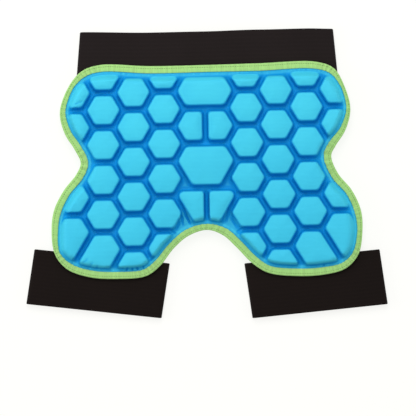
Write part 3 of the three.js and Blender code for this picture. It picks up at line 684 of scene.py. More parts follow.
class Moulding:
    """The moulded pad in the making: its edges, its cells, and the points and faces of its closed skin."""

    def __init__(self):
        self.pad, self.tape = bpy.context.scene.guard_pad, bpy.context.scene.guard_tape
        self.outline, self.widths = bound_edge()
        self.seam = inset(self.outline, self.widths + SEAM_GAP)
        self.seam_tree = tree_of(self.seam)
        self.seam_ways, self.seam_level = ways_in(self.seam), levelness(self.seam)
        self.flange_floor = SEAT + self.tape.thickness + SEAM_GAP
        self.web_top = self.flange_floor + FLANGE
        field = cell_field(self.outline, self.widths)
        self.field = evenly(field, COARSE_SPACING)
        # Towards the seam a cell has no wall of its own, only its slope
        fields = [inset(field, SEAM_WALL_SHARE * step.inset * MM) for step in CELL_WALL]
        self.cells = [cell for cell in (Cell(fields, plan) for plan in cell_plans()) if cell.rings]
        self.points, self.faces, self.marks = [], [], []
        self.count = 0

    def add(self, plan, heights, shade):
        """Adds points with their shade and gives the numbers they have."""
        self.points.append(np.column_stack([plan, np.broadcast_to(heights, len(plan))]))
        self.marks.append(np.broadcast_to(shade, len(plan)))
        self.count += len(plan)
        return np.arange(self.count - len(plan), self.count)

    def join(self, rings):
        """Faces between each ring and the next."""
        for a, b in zip(rings, rings[1:]):
            self.faces += np.column_stack([a, np.roll(a, -1), np.roll(b, -1), b]).tolist()

    def survey(self, plan):
        """Finds out what lies round points on the upper side."""
        beside = nearest(self.seam_tree, plan)[0]
        away = distance_to(self.field, plan)
        # The outer slope is steep where it looks towards the feet, and there it gets a painted shade, since
        # it faces away from the key light
        facing = np.clip(self.seam_ways[beside, 1], 0, 1)
        up = smooth(away / (self.pad.cell_taper * (1 - 0.5 * facing)))
        gathered = SLOPE_SHADE * facing * (1 - up)
        return Spots(plan, beside, away * is_inside(self.field, plan), up, gathered, fold_depth(plan))

    def tint(self, spots, shade):
        """A shade as it shows over the field, and faded in the margin round it."""
        # Along the level runs of the edge the margin keeps half of the painted shade, and along the upright
        # sides hardly any
        pressed = UPRIGHT_SHARE + LEVEL_SHARE * self.seam_level[spots.beside]
        return shade * (pressed + (1 - pressed) * smooth(spots.inside / MARGIN_FADE))

    def with_feet_shade(self, plan, shade):
        """The painted shade on a cell, a little darker towards the feet, standing in for the light that falls
        off there.
        """
        feet = smooth(0.62 - 1.2 * plan[:, 1] / self.pad.height)
        return np.clip(np.maximum(shade, FEET_SHADE * feet), 0, 1)

    def cell_height(self, spots, share, bulge):
        """Height of the skin on a cell, at a share of its rise and of its crown."""
        slope = spots.up * (share > 0)
        level = self.web_top + FOOT_FILLET * (1 - share) + self.pad.cell_rise * share * slope
        level = level + self.pad.cell_crown * bulge * slope
        ripple = unevenness(spots.plan, CELL_WAVES) * share
        return lift(spots.plan) + level + ripple - spots.folded

    def add_cell_ring(self, plan, share, bulge, shade):
        """Adds a ring of points on a cell, at a share of its rise and of its crown."""
        spots = self.survey(plan)
        # Painted shade: the slope's shade and the folds darken the knit, and the ridges beside the folds get
        # a painted highlight
        shade = np.maximum(self.tint(spots, shade), spots.gathered) + spots.folded / MM
        return self.add(plan, self.cell_height(spots, share, bulge), self.with_feet_shade(plan, shade))

    def add_cell(self, cell):
        """Lays the skin over a cell and gives the numbers of the points round its foot."""
        rings = []
        for step, lengths in zip(CELL_WALL, cell.rings):
            plan = cell.ring(lengths)
            # Painted shade: the walls are coloured deep blue, and further up on the walls that look towards
            # the feet, away from the key light
            downward = np.clip(ways_in(plan)[:, 1], 0, 1)
            shade = 1 - smooth((step.inset - SHADE_START) / (SHADE_FADE + SHADE_FADE_DOWNWARD * downward))
            rings.append(self.add_cell_ring(plan, step.share, SHOULDER_BULGE * step.share ** 2, shade))
        # A painted shade that grows towards each cell's shoulders
        for share in TOP_RINGS:
            bulge = SHOULDER_BULGE + (1 - SHOULDER_BULGE) * (1 - share ** 2)
            plan = cell.ring(cell.rings[-1] * share)
            rings.append(self.add_cell_ring(plan, 1.0, bulge, TOP_SHADE * share ** 3))
        self.join(rings)
        middle = self.survey(cell.centre.reshape(1, 2))
        hub = int(self.add(middle.plan, self.cell_height(middle, 1.0, 1.0), self.with_feet_shade(middle.plan, 0.0))[0])
        inmost = rings[-1].tolist()
        self.faces += [[hub, a, b] for a, b in zip(inmost, inmost[1:] + inmost[:1])]
        return rings[0]

    def channel_points(self, feet):
        """Points over the channels and the margin, and how far each is from the nearest cell."""
        inner = grid(self.seam.min(axis=0), self.seam.max(axis=0), CHANNEL_SPACING)
        inner = np.vstack([inner[fold_depth(inner) == 0], fold_points()])
        inner = inner[is_inside(inset(self.seam, SEAM_CLEARANCE), inner)]
        for cell in self.cells:
            inner = inner[~cell.holds(inner)]
        gaps = nearest(tree_of(np.vstack(feet)), inner)[1]
        return inner[gaps > FOOT_CLEARANCE], gaps[gaps > FOOT_CLEARANCE]

    def add_web(self):
        """Lays the skin over the cells and the channels and gives the numbers of its edge at the seam."""
        foot_numbers = [self.add_cell(cell) for cell in self.cells]
        feet = [cell.ring(cell.rings[0]) for cell in self.cells]
        inner, gaps = self.channel_points(feet)
        spots = self.survey(inner)
        off_seam = distance_to(evenly(self.seam, COARSE_SPACING), inner)
        edge = smooth(off_seam / self.pad.margin)
        # The seam gathers the knit into short wrinkles that run away from it
        gather = unevenness(np.column_stack([spots.beside, np.zeros(len(inner))]), SEAM_GATHERS)
        gather = gather * np.exp(-((off_seam - GATHER_PLACE) / GATHER_REACH) ** 2)
        gather = gather * self.seam_level[spots.beside]
        hollow = CHANNEL_HOLLOW * smooth(gaps / HOLLOW_REACH) * edge
        level = self.web_top + FOOT_FILLET * np.exp(-gaps / FILLET_REACH) - hollow
        ripple = unevenness(inner, CHANNEL_WAVES) * edge
        heights = level + lift(inner) + ripple - spots.folded + gather * GATHER_HEIGHT
        # Painted shade: darkest in the narrow channels, where least light reaches, and less where they widen
        paler = (1 - WIDE_CHANNEL_SHADE) * smooth((gaps / MM - WIDE_GAP) / WIDENING)
        # Painted shade in the folds and in the valleys between gathers, and a painted highlight on the
        # gathers and on a ridge beside a fold
        folded = spots.folded / MM
        shade = self.tint(spots, 1.0 - paler) + np.maximum(folded, 0.4 * folded) - 0.5 * gather
        # The seam's painted shade stands in for the tape's shadow on the knit
        seam_top = self.add(self.seam, lift(self.seam) + self.web_top, SEAM_SHADE)
        floor = self.add(inner, heights, np.clip(shade, 0, 1))
        numbers = np.concatenate([seam_top, *foot_numbers, floor])
        self.faces += numbers[fill([self.seam, *feet], inner)].tolist()
        return seam_top

    def add_back(self, seam_top):
        """Adds the pressed edge under the binding and the plain back, which stands down between the bands."""
        rim = inset(self.outline, self.tape.thickness + SEAM_GAP)
        under = inset(self.outline, (self.widths + self.tape.thickness) / 2)
        rounded = inset(rim, -0.3 * MM)
        low, top = self.flange_floor, self.web_top
        rings = [
            self.add(self.seam, lift(self.seam) + low, BACK_SHADE),
            self.add(under, lift(under) + low, BACK_SHADE),
            self.add(rim, lift(rim) + low, BACK_SHADE),
            self.add(rounded, lift(rim) + low + FLANGE / 2, BACK_SHADE),
            self.add(rim, lift(rim) + top, BACK_SHADE),
            self.add(under, lift(under) + top, BACK_SHADE),
            seam_top,
        ]
        self.join(rings)
        back = grid(self.seam.min(axis=0), self.seam.max(axis=0), BACK_SPACING)
        back = back[is_inside(inset(self.seam, BACK_SPACING / 2), back)]
        sunk = smooth(distance_to(evenly(self.seam, COARSE_SPACING), back) / BACK_SLOPE)
        back_points = self.add(back, lift(back) + low + (CELL_FLOOR - low) * sunk, BACK_SHADE)
        numbers = np.concatenate([rings[0], back_points])
        self.faces += numbers[fill([self.seam], back)][:, ::-1].tolist()

    def mesh(self, name):
        """The mesh of the whole skin, in the row frame, with its shades."""
        self.add_back(self.add_web())
        made = bpy.data.meshes.new(name)
        made.from_pydata(to_frame(np.vstack(self.points)).tolist(), [], self.faces)
        # The painted shade goes to the knit's material with the mesh
        mark(made, "depth", np.concatenate(self.marks))
        made.shade_smooth()
        return made


def tape_height():
    """Height of the folded tape over its seat."""
    tape = bpy.context.scene.guard_tape
    return 2 * (tape.thickness + SEAM_GAP) + FLANGE


def tape_section():
    """The folded tape cut through: how far in from the pad's edge, how far up, and its place across."""
    tape = bpy.context.scene.guard_tape
    tall, thick, wide, fold = tape_height(), tape.thickness, tape.width, tape.fold
    lip = 0.35 * thick
    dent, dent_reach, swell = 0.22 * MM, 0.6 * MM, 0.15 * MM
    round_steps, face_steps = 5, 8
    half = []
    for k in range(round_steps + 1):
        way = math.pi - k / round_steps * math.pi / 2
        half.append((fold + fold * math.cos(way), tall - fold + fold * math.sin(way)))
    # The upper face swells a little and is drawn in along its stitches
    for k in range(1, face_steps + 1):
        across = fold + (wide - lip - fold) * k / face_steps
        sunk = dent * math.exp(-(((across - tape.stitch_inset) / dent_reach) ** 2))
        half.append((across, tall - sunk + swell * math.sin(math.pi * k / face_steps)))
    half += [(wide, tall - lip), (wide, tall - thick + lip), (wide - lip, tall - thick)]
    half += [(wide / 2, tall - thick), (1.6 * thick, tall - thick), (thick, tall - 1.6 * thick)]
    places = np.array([(across, tall - up) for across, up in half] + half[::-1])
    run = np.concatenate([[0], np.cumsum(np.linalg.norm(np.diff(places, axis=0), axis=1))])
    return places, run / run[-1]


def path_mesh(name, loops, marks=None):
    """Closed rows of points as a mesh of edges, with their length and other values by name."""
    points, edges, along = [], [], []
    for loop in loops:
        edges += pairs_round(len(loop), len(points))
        points += to_frame(loop).tolist()
        along += [0.0, *np.cumsum(np.linalg.norm(np.diff(loop, axis=0), axis=1))]
    made = bpy.data.meshes.new(name)
    made.from_pydata(points, edges, [])
    for title, values in {"along": along, **(marks or {})}.items():
        mark(made, title, values)
    return made


def tightness_of(loop):
    """From 0 where a loop's radius is 133 mm or more to 1 where it is 40 mm or less."""
    before, after = loop - np.roll(loop, 1, axis=0), np.roll(loop, -1, axis=0) - loop
    turn = np.arctan2(before[:, 0] * after[:, 1] - before[:, 1] * after[:, 0], np.sum(before * after, axis=1))
    bend = np.abs(turn) / np.linalg.norm(after, axis=1)
    # Each point takes the mean of its run, so that the gathers set in softly
    beside, sharp = 7, 40 * MM
    count = 2 * beside + 1
    bend = np.concatenate([bend[-beside:], bend, bend[:beside]])
    bend = np.convolve(bend, np.ones(count) / count, mode="valid")
    return smooth((bend * sharp - 0.3) / 0.7)


def feed(tree, node, inputs):
    """Links or sets the inputs of a node."""
    for key, value in inputs.items():
        if isinstance(value, bpy.types.NodeSocket):
            tree.links.new(value, node.inputs[key])
        else:
            node.inputs[key].default_value = value


def add(tree, kind, inputs=None, **settings):
    """Adds a node to a tree, with its settings and its inputs."""
    made = tree.nodes.new(kind)
    for name, value in settings.items():
        setattr(made, name, value)
    feed(tree, made, inputs or {})
    return made


def calc(tree, operation, *values, **settings):
    """The outcome of a sum on numbers or outputs."""
    return add(tree, "ShaderNodeMath", dict(enumerate(values)), operation=operation, **settings).outputs[0]


def scaled(tree, way, share):
    """A way made longer or shorter."""
    return add(tree, "ShaderNodeVectorMath", {0: way, "Scale": share}, operation="SCALE").outputs[0]


def remap(tree, value, low, high, last=1.0):
    """A value that goes from 0 at one limit to the last one at the other, and stays there beyond."""
    return add(tree, "ShaderNodeMapRange", {"Value": value, 1: low, 2: high, 3: 0.0, 4: last}).outputs[0]


def geometry_tree(name, sockets):
    """An empty geometry tree with named inputs, given as name and kind."""
    tree = bpy.data.node_groups.new(name, "GeometryNodeTree")
    for title, kind in {"Geometry": "Geometry", **sockets, "Material": "Material"}.items():
        tree.interface.new_socket(name=title, in_out="INPUT", socket_type=f"NodeSocket{kind}")
    tree.interface.new_socket(name="Geometry", in_out="OUTPUT", socket_type="NodeSocketGeometry")
    return tree, add(tree, "NodeGroupInput").outputs


def end_tree(tree, geometry, material):
    """Ends a geometry tree: its copies are made real and get their material."""
    real = add(tree, "GeometryNodeRealizeInstances", {"Geometry": geometry})
    dressed = add(tree, "GeometryNodeSetMaterial", {"Geometry": real.outputs[0], "Material": material})
    add(tree, "NodeGroupOutput", {"Geometry": dressed.outputs[0]})
    return tree


def grown(name, mesh, tree, values):
    """Runs a geometry tree on a mesh and gives the result as a plain mesh."""
    carrier = bpy.data.objects.new(name + "_path", mesh)
    bpy.context.scene.collection.objects.link(carrier)
    modifier = carrier.modifiers.new(name, "NODES")
    modifier.node_group = tree
    for socket in tree.interface.items_tree:
        if socket.in_out == "INPUT" and socket.name in values:
            modifier[socket.identifier] = values[socket.name]
    bpy.context.view_layer.update()
    graph = bpy.context.evaluated_depsgraph_get()
    result = bpy.data.meshes.new_from_object(carrier.evaluated_get(graph), depsgraph=graph)
    result.name = name
    bpy.data.objects.remove(carrier)
    if not result.polygons:
        raise RuntimeError(f"{name} came out empty")
    result.shade_smooth()
    return result


def finished(name, mesh, material, node_name=None):
    """Makes a mesh a piece of the guard."""
    piece = bpy.data.objects.new(name, mesh)
    bpy.context.scene.collection.objects.link(piece)
    mesh.materials.clear()
    mesh.materials.append(material)
    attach(piece, "root")
    if node_name:
        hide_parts(node_name)
    return piece


def folded_tape_tree():
    """A section swept along the pad's edge, narrower where it rolls down and gathered where it turns."""
    tree, given = geometry_tree("Folded tape", {
        "Section": "Object", "Pucker height": "Float", "Pucker pitch": "Float",
    })
    path = add(tree, "GeometryNodeMeshToCurve", {"Mesh": given["Geometry"]})
    path = add(tree, "GeometryNodeSetCurveNormal", {"Curve": path.outputs["Curve"]}, mode="Z_UP")
    section = add(tree, "GeometryNodeObjectInfo", {"Object": given["Section"]})
    section = add(tree, "GeometryNodeMeshToCurve", {"Mesh": section.outputs["Geometry"]})
    swept = add(tree, "GeometryNodeCurveToMesh", {
        "Curve": path.outputs["Curve"], "Profile Curve": section.outputs["Curve"],
    })
    along, tight, across, lip = (
        add(tree, "GeometryNodeInputNamedAttribute", {"Name": title}).outputs["Attribute"]
        for title in ("along", "tightness", "across", "lip")
    )
    narrowing = add(tree, "GeometryNodeInputNamedAttribute", {"Name": "narrowing"}, data_type="FLOAT_VECTOR")
    drawn_out = scaled(tree, narrowing.outputs["Attribute"], calc(tree, "MULTIPLY", lip, -1.0))
    narrowed = add(tree, "GeometryNodeSetPosition", {"Geometry": swept.outputs[0], "Offset": drawn_out})
    # The gathers stand about their pitch apart, a little unevenly
    waver = add(tree, "ShaderNodeTexNoise", {"W": along, "Scale": 60.0}, noise_dimensions="1D")
    phase = calc(tree, "MULTIPLY", waver.outputs["Fac"], 9.0)
    turns = calc(tree, "DIVIDE", along, given["Pucker pitch"])
    wave = calc(tree, "SINE", calc(tree, "MULTIPLY_ADD", turns, 2 * math.pi, phase))
    # They are deepest on the faces of the tape and fade towards its fold
    off_fold = calc(tree, "ABSOLUTE", calc(tree, "SUBTRACT", across, 0.5))
    high = calc(tree, "MULTIPLY", wave, given["Pucker height"])
    high = calc(tree, "MULTIPLY", high, tight)
    high = calc(tree, "MULTIPLY", high, remap(tree, off_fold, 0.5, 0.25))
    offset = scaled(tree, add(tree, "GeometryNodeInputNormal").outputs[0], high)
    moved = add(tree, "GeometryNodeSetPosition", {"Geometry": narrowed.outputs[0], "Offset": offset})
    return end_tree(tree, moved.outputs[0], given["Material"])


def stitch_tree():
    """Short stitches laid one after the other along rows."""
    tree, given = geometry_tree("Stitch row", {"Pitch": "Float", "Stitch length": "Float", "Thread": "Float"})
    path = add(tree, "GeometryNodeMeshToCurve", {"Mesh": given["Geometry"]})
    dots = add(tree, "GeometryNodeCurveToPoints", {
        "Curve": path.outputs[0], "Length": given["Pitch"],
    }, mode="LENGTH")
    turn = add(tree, "FunctionNodeAlignRotationToVector", {"Vector": dots.outputs["Tangent"]}, axis="X")
    bead = add(tree, "GeometryNodeMeshUVSphere", {"Segments": 8, "Rings": 5, "Radius": 0.5})
    thread = given["Thread"]
    size = add(tree, "ShaderNodeCombineXYZ", {0: given["Stitch length"], 1: thread, 2: thread})
    placed = add(tree, "GeometryNodeInstanceOnPoints", {
        "Points": dots.outputs["Points"], "Instance": bead.outputs["Mesh"],
        "Rotation": turn.outputs[0], "Scale": size.outputs[0],
    })
    return end_tree(tree, placed.outputs[0], given["Material"])


def band_section(half, opening_inset, spacing):
    """One turn of a loop that lies flat: place across, height over the floor, and 1 on its upper layer."""
    band = bpy.context.scene.guard_bands
    radius = band.thickness + band.opening / 2
    hub = half - radius
    r = radius - opening_inset
    count = max(2, round(2 * hub / spacing))
    fold_steps = 12
    line = np.linspace(-hub, hub, count, endpoint=False)
    ways = (np.arange(fold_steps) / fold_steps - 0.5) * math.pi
    across = np.concatenate([line, hub + r * np.cos(ways), -line, -hub - r * np.cos(ways)])
    heights = np.concatenate([np.full(count, -r), r * np.sin(ways), np.full(count, r), -r * np.sin(ways)])
    upper = np.concatenate([np.zeros(count + fold_steps), np.ones(count), np.zeros(fold_steps)])
    return across, heights + radius, upper


def band_mesh(name, width_at, height, place, spacing=2.5 * MM):
    """A band sewn into a loop and laid flat, with round edges, its upper layer under the crown of the pad."""
    band = bpy.context.scene.guard_bands
    wall, steps = band.thickness, 4
    turns = [k / steps * math.pi / 2 for k in range(steps, 0, -1)]
    edge = [((1 - math.sin(turn)) * wall / 2, (1 - math.cos(turn)) * wall / 2) for turn in turns]
    rows = round((height - wall) / spacing)
    inner = [(wall / 2 + (height - wall) * k / rows, 0.0) for k in range(rows + 1)]
    profile = edge + inner + [(height - away, depth) for away, depth in reversed(edge)]
    loop = profile + [(away, wall - depth) for away, depth in reversed(profile)][1:-1]
    flat_half = width_at(0.5) / 2
    count = len(band_section(flat_half, 0, spacing)[0])
    points, places = [], []
    for away, depth in loop:
        share = away / height
        half = width_at(share) / 2
        across, up, upper = band_section(half, depth, spacing * half / flat_half)
        plan = place(across, away - height / 2, share, 0.5 + across / half / 2)
        crown = upper * (lift(plan) - 2 * wall - band.opening)
        points.append(np.column_stack([plan, up + crown]))
        places.append(np.full(count, share))
    if any(len(ring) != count for ring in points):
        raise RuntimeError(f"{name} has rings of different lengths")
    faces = []
    for k in range(len(loop)):
        a = k * count + np.arange(count)
        b = (k + 1) % len(loop) * count + np.arange(count)
        faces += np.column_stack([a, b, np.roll(b, -1), np.roll(a, -1)]).tolist()
    made = bpy.data.meshes.new(name)
    made.from_pydata(to_frame(np.vstack(points)).tolist(), [], faces)
    mark(made, "up", np.concatenate(places) * height)
    made.shade_smooth()
    return made


def sewn_band(name, node_name, cloth, width_at, height, place):
    """Makes one elastic loop of the guard; the flat length of the strip that it is sewn from is worked out
    but not used.
    """
    band = bpy.context.scene.guard_bands
    piece = finished(name, band_mesh(name, width_at, height, place), cloth, node_name)
    turn = math.pi * (band.thickness + band.opening)
    run = 2 * width_at(0.5) - 2 * (2 * band.thickness + band.opening) + turn


def material_tree(name):
    """An empty material with its tree, its shader and the place of each point in space."""
    made = bpy.data.materials.new(name)
    made.use_nodes = True
    tree = made.node_tree
    return made, tree, tree.nodes["Principled BSDF"], add(tree, "ShaderNodeTexCoord").outputs["Object"]


def marked(tree, title):
    """The value that the mesh carries under a title."""
    return add(tree, "ShaderNodeAttribute", attribute_name=title).outputs["Fac"]


def cloudy(tree, place, scale, detail=2.0):
    """Soft random patches."""
    return add(tree, "ShaderNodeTexNoise", {"Vector": place, "Scale": scale, "Detail": detail}).outputs["Fac"]


def bands(tree, place, axis, spacing, **values):
    """Soft bands that follow one another along an axis, some way apart."""
    inputs = {name.replace("_", " "): value for name, value in values.items()}
    inputs.update({"Vector": place, "Scale": math.pi / 10 / spacing})
    return add(tree, "ShaderNodeTexWave", inputs, bands_direction=axis).outputs["Fac"]


def mixed(tree, share, first, second):
    """A colour between two others."""
    return add(tree, "ShaderNodeMix", {0: share, 6: first, 7: second}, data_type="RGBA").outputs[2]


def relief(tree, height, strength, depth):
    """Small bumps in a surface."""
    inputs = {"Height": height, "Strength": strength, "Distance": depth}
    return add(tree, "ShaderNodeBump", inputs).outputs[0]


def darker(base, share):
    """A colour with only a share of its light."""
    return tuple(c * share for c in base[:3]) + (1.0,)


def satin_knit(surface, deep):
    """Nylon and elastane knit laminated on EVA foam, satin: pale blue, mixed towards deep blue by the painted
    shade that the mesh carries.
    """
    made, tree, shader, place = material_tree("Laminated nylon knit")
    drift = calc(tree, "MULTIPLY_ADD", cloudy(tree, place, 28.0), 0.22, -0.11)
    # The painted shade from the mesh, with soft random patches of tone
    depth = calc(tree, "ADD", marked(tree, "depth"), drift, use_clamp=True)
    # Courses of the knit are 0.5 mm apart in the cloth, too fine for the picture. They gather into ripples
    # some 5 mm apart, and the wales that cross them are drawn four times as wide as they are.
    ripples = bands(tree, place, "Y", 5.2 * MM, Distortion=5.0, Detail=2.0, Detail_Scale=1.2)
    wales = bands(tree, place, "X", 2.2 * MM, Distortion=1.5)
    feed(tree, shader, {
        "Base Color": mixed(tree, depth, tuple(surface), tuple(deep)),
        "Normal": relief(tree, calc(tree, "MULTIPLY_ADD", wales, 0.3, ripples), 0.22, 0.25 * MM),
        "Roughness": 0.6,
        "Specular IOR Level": 0.12,
    })
    return made


def ribbed_tape(base):
    """Polyester fold-over tape, woven with fine ribs across: matt, a little paler on its ribs."""
    made, tree, shader, place = material_tree("Woven polyester tape")
    along = marked(tree, "along")
    cloth = add(tree, "ShaderNodeCombineXYZ", {0: along, 1: marked(tree, "across")}).outputs[0]
    # Ribs stand 0.6 mm apart in the tape and are drawn four times as wide, or the picture loses them
    ribs = bands(tree, cloth, "X", 2.4 * MM, Distortion=0.6)
    # Where the seam draws the tape in, it creases across, and its creases get a painted shade: soft bands
    # some 3 mm apart
    crease_shade = add(tree, "ShaderNodeTexNoise", {
        "W": along, "Scale": 330.0, "Detail": 1.0,
    }, noise_dimensions="1D").outputs["Fac"]
    # Random patches of the tape's tone, mixed with the painted shade of its creases
    tone_and_crease_shade = add(tree, "ShaderNodeMix", {0: 0.55, 2: cloudy(tree, place, 260.0, 3.0), 3: crease_shade}).outputs[0]
    shade = calc(tree, "MULTIPLY_ADD", ribs, 0.2, remap(tree, tone_and_crease_shade, 0.32, 0.62, 0.8))
    tint = mixed(tree, shade, darker(base, 0.8), tuple(base))
    # Round tight turns the gathers draw the tape into short folds some 6 mm apart, with painted shade in them
    # as short dark lines
    pinch_shade = bands(tree, cloth, "X", 5.8 * MM, Distortion=5.0, Detail=2.0)
    pinch_shade = calc(tree, "MULTIPLY", remap(tree, pinch_shade, 0.72, 1.0, 0.8), marked(tree, "tightness"))
    pinch_shade = calc(tree, "MULTIPLY", pinch_shade, tone_and_crease_shade)
    feed(tree, shader, {
        "Base Color": mixed(tree, pinch_shade, tint, darker(base, 0.34)),
        "Normal": relief(tree, shade, 0.35, 0.2 * MM),
        "Roughness": 0.82,
        "Sheen Weight": 0.15,
        "Specular IOR Level": 0.3,
    })
    return made


def spun_thread(base):
    """Spun polyester thread: two plies, matt."""
    made, tree, shader, place = material_tree("Spun polyester thread")
    plies = cloudy(tree, place, 900.0, 1.0)
    feed(tree, shader, {"Base Color": mixed(tree, plies, darker(base, 0.75), tuple(base)), "Roughness": 0.8})
    return made


def woven_elastic(base):
    """Woven elastic: black yarn over rubber cords that run along the band, matt with a faint rib."""
    made, tree, shader, place = material_tree("Woven elastic webbing")
    cloth = add(tree, "ShaderNodeCombineXYZ", {1: marked(tree, "up")}).outputs[0]
    # The cords lie 1.3 mm apart and are drawn at 4.4 mm, so that the picture keeps a trace of them
    cords = bands(tree, cloth, "Y", 4.4 * MM)
    woven = calc(tree, "MULTIPLY_ADD", cloudy(tree, place, 420.0, 3.0), 0.5, cords)
    shade = calc(tree, "MULTIPLY_ADD", woven, 0.3, cloudy(tree, place, 22.0))
    feed(tree, shader, {
        "Base Color": mixed(tree, shade, darker(base, 0.72), tuple(base)),
        "Normal": relief(tree, woven, 0.4, 0.25 * MM),
        "Roughness": 0.9,
        "Specular IOR Level": 0.12,
    })
    return made


def light_table(base):
    """White acrylic sheet lit from below: matt and even, so that what lies on it hardly throws a shadow."""
    made, tree, shader, place = material_tree("Opal acrylic sheet")
    # Most of its white is its own light, so that the guard's colours hardly show in it
    feed(tree, shader, {
        "Base Color": darker(base, 0.16),
        "Normal": relief(tree, cloudy(tree, place, 300.0), 0.02, 0.1 * MM),
        "Roughness": 1.0,
        "Emission Color": tuple(base),
        "Emission Strength": 0.87,
    })
    return made


class GUARD_OT_stage(bpy.types.Operator):
    """Lay the white floor and set the soft light and the camera straight above."""

    bl_idname = "guard.stage"
    bl_label = "Floor, light and camera"

    def execute(self, context):
        given = context.scene.guard_stage
        bpy.ops.mesh.primitive_plane_add(size=8.0)
        floor = context.object
        floor.name = "light_table"
        floor.data.materials.append(light_table(given.floor))

        world = bpy.data.worlds.new("Studio")
        world.use_nodes = True
        sky = {"Color": (1.0, 1.0, 0.985, 1.0), "Strength": given.sky}
        feed(world.node_tree, world.node_tree.nodes["Background"], sky)
        context.scene.world = world
        context.scene.view_settings.view_transform = "Standard"

        for name, place, watts in (
            ("Key", (-0.1, 0.75, 1.2), given.key),
            ("Left fill", (-1.5, 0.1, 0.7), given.left_fill),
            ("Right fill", (1.5, 0.1, 0.7), given.right_fill),
        ):
            light = bpy.data.lights.new(name, "AREA")
            light.shape, light.size, light.energy = "DISK", 0.9, watts
            lamp = bpy.data.objects.new(name, light)
            lamp.location = place
            lamp.rotation_euler = (-lamp.location).to_track_quat("-Z", "Y").to_euler()
            context.scene.collection.objects.link(lamp)

        # The frame's width is measured at the height of the pad's edge
        edge_height, sensor = 0.012, 36
        lens = bpy.data.cameras.new("Camera")
        lens.sensor_width = sensor
        lens.lens = sensor * (given.camera_height - edge_height) / given.frame_width
        lens.clip_end = 20
        camera = bpy.data.objects.new("Camera", lens)
        camera.location = (0.00105, -0.0382, given.camera_height)
        context.scene.collection.objects.link(camera)
        context.scene.camera = camera
        return {"FINISHED"}


class GUARD_OT_pad(bpy.types.Operator):
    """Mould the padded body with its raised cells, channels and pressed edge."""

    bl_idname = "guard.pad"
    bl_label = "Moulded pad"

    def execute(self, context):
        given = context.scene.guard_pad
        knit = satin_knit(given.fabric, given.fabric_shaded)
        piece = finished("moulded_pad", Moulding().mesh("moulded_pad"), knit, "pad")
        return {"FINISHED"}


class GUARD_OT_tape(bpy.types.Operator):
    """Fold the binding tape round the edge of the pad, gathered in the tight turns."""

    bl_idname = "guard.tape"
    bl_label = "Folded edge tape"

    def execute(self, context):
        given = context.scene.guard_tape
        places, across = tape_section()
        cut = bpy.data.meshes.new("tape_section")
        cut.from_pydata([(-inward, -up, 0) for inward, up in places], pairs_round(len(places)), [])
        mark(cut, "across", across)
        mark(cut, "lip", places[:, 0] / given.width)
        section = bpy.data.objects.new("tape_section", cut)
        context.scene.collection.objects.link(section)

        outline, widths = bound_edge()
        loop = np.column_stack([outline, lift(outline) + SEAT])
        narrowing = np.reshape(given.width - widths, (-1, 1)) * ways_in(outline)
        path = path_mesh("tape_path", [loop], {
            "tightness": tightness_of(outline),
            "narrowing": np.column_stack([narrowing, np.zeros(len(outline))]),
        })
        cloth = ribbed_tape(given.tape)
        mesh = grown("folded_edge_tape", path, folded_tape_tree(), {
            "Section": section, "Pucker height": given.pucker, "Pucker pitch": given.pucker_pitch,
            "Material": cloth,
        })
        bpy.data.objects.remove(section)
        piece = finished("folded_edge_tape", mesh, cloth, "edge_binding")
        return {"FINISHED"}


class GUARD_OT_stitches(bpy.types.Operator):
    """Sew the tape on with a row of stitches on each face."""

    bl_idname = "guard.stitches"
    bl_label = "Stitches"

    def execute(self, context):
        given = context.scene.guard_tape
        outline, widths = bound_edge()
        row = inset(outline, given.stitch_inset * widths / given.width)
        levels = (SEAT + tape_height() - 0.05 * MM, SEAT + 0.2 * MM)
        path = path_mesh("stitch_path", [np.column_stack([row, lift(row) + level]) for level in levels])
        yarn = spun_thread(given.thread_colour)
        mesh = grown("edge_stitches", path, stitch_tree(), {
            "Pitch": given.stitch_pitch, "Stitch length": 0.72 * given.stitch_pitch, "Thread": given.thread,
            "Material": yarn,
        })
        finished("edge_stitches", mesh, yarn)
        return {"FINISHED"}


class GUARD_OT_waistband(bpy.types.Operator):
    """Sew the wide elastic behind the top of the pad."""

    bl_idname = "guard.waistband"
    bl_label = "Waistband"

    def execute(self, context):
        pad, band = context.scene.guard_pad, context.scene.guard_bands
        middle = [0, OUTLINE_TOP[1] * pad.height / 2 + band.waist_shown - band.waist_height / 2]
        marks, rises = np.array(WAIST_EDGE).T

        def edge(across):
            after = np.clip(np.searchsorted(marks, across), 1, len(marks) - 1)
            share = smooth((across - marks[after - 1]) / (marks[after] - marks[after - 1]))
            return (rises[after - 1] + (rises[after] - rises[after - 1]) * share) * band.waist_width

        def place(across, along, share, across_share):
            plan = np.column_stack([across, along + share * edge(across_share)])
            return turned(plan, band.waist_tilt) + middle

        def width_at(share):
            return band.waist_width + 2 * band.waist_flare * (1 - share)

        cloth = woven_elastic(band.elastic)
        sewn_band("waist_elastic", "waistband", cloth, width_at, band.waist_height, place)
        return {"FINISHED"}


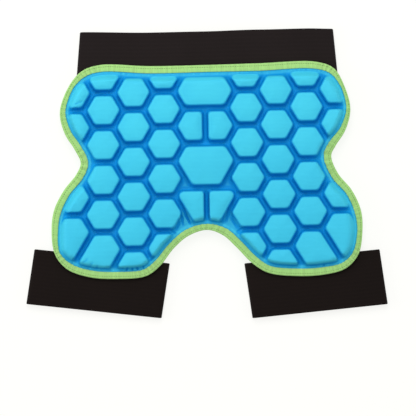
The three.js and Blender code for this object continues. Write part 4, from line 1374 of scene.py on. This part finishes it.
class GUARD_OT_leg_straps(bpy.types.Operator):
    """Sew an elastic loop behind each of the two lower lobes."""

    bl_idname = "guard.leg_straps"
    bl_label = "Leg straps"

    def execute(self, context):
        pad, band = context.scene.guard_pad, context.scene.guard_bands
        cloth = woven_elastic(band.leg_elastic)
        for name, side in (("left", -1), ("right", 1)):
            middle = [side * (pad.width / 2 - band.leg_inset), -pad.height / 2 - band.leg_drop]

            def place(across, along, share, _):
                lean = side * band.leg_lean * (0.5 - share)
                plan = np.column_stack([across + lean, np.full(len(across), along)])
                return turned(plan, side * band.leg_tilt) + middle

            sewn_band(
                f"{name}_leg_elastic", f"leg_strap_{name}", cloth,
                lambda share: band.leg_width, band.leg_height, place,
            )
        return {"FINISHED"}


class GUARD_PT_panel(bpy.types.Panel):
    """Lists what the guard is made of, in the order of its making."""

    bl_idname = "GUARD_PT_panel"
    bl_label = "Tailbone Protector"
    bl_space_type = "VIEW_3D"
    bl_region_type = "UI"
    bl_category = "Guard"

    def draw(self, context):
        for settings, operators in (
            (context.scene.guard_stage, [GUARD_OT_stage]),
            (context.scene.guard_pad, [GUARD_OT_pad]),
            (context.scene.guard_tape, [GUARD_OT_tape, GUARD_OT_stitches]),
            (context.scene.guard_bands, [GUARD_OT_waistband, GUARD_OT_leg_straps]),
        ):
            box = self.layout.box()
            for name in settings.bl_rna.properties.keys():
                if name not in ("rna_type", "name"):
                    box.prop(settings, name)
            for operator in operators:
                box.operator(operator.bl_idname)


SETTINGS = {
    "guard_pad": GuardPadSettings,
    "guard_tape": GuardTapeSettings,
    "guard_bands": GuardBandSettings,
    "guard_stage": GuardStageSettings,
}
OPERATORS = [
    GUARD_OT_stage, GUARD_OT_pad, GUARD_OT_tape, GUARD_OT_stitches, GUARD_OT_waistband, GUARD_OT_leg_straps,
]


def register():
    for settings in SETTINGS.values():
        bpy.utils.register_class(settings)
    for name, settings in SETTINGS.items():
        setattr(bpy.types.Scene, name, bpy.props.PointerProperty(type=settings))
    for made in (*OPERATORS, GUARD_PT_panel):
        bpy.utils.register_class(made)


def unregister():
    for made in (GUARD_PT_panel, *reversed(OPERATORS)):
        bpy.utils.unregister_class(made)
    for name, settings in reversed(SETTINGS.items()):
        delattr(bpy.types.Scene, name)
        bpy.utils.unregister_class(settings)


def main():
    register()
    bpy.ops.guard.stage()
    bpy.ops.guard.pad()
    bpy.ops.guard.tape()
    bpy.ops.guard.stitches()
    bpy.ops.guard.waistband()
    bpy.ops.guard.leg_straps()


if __name__ == "__main__":
    main()
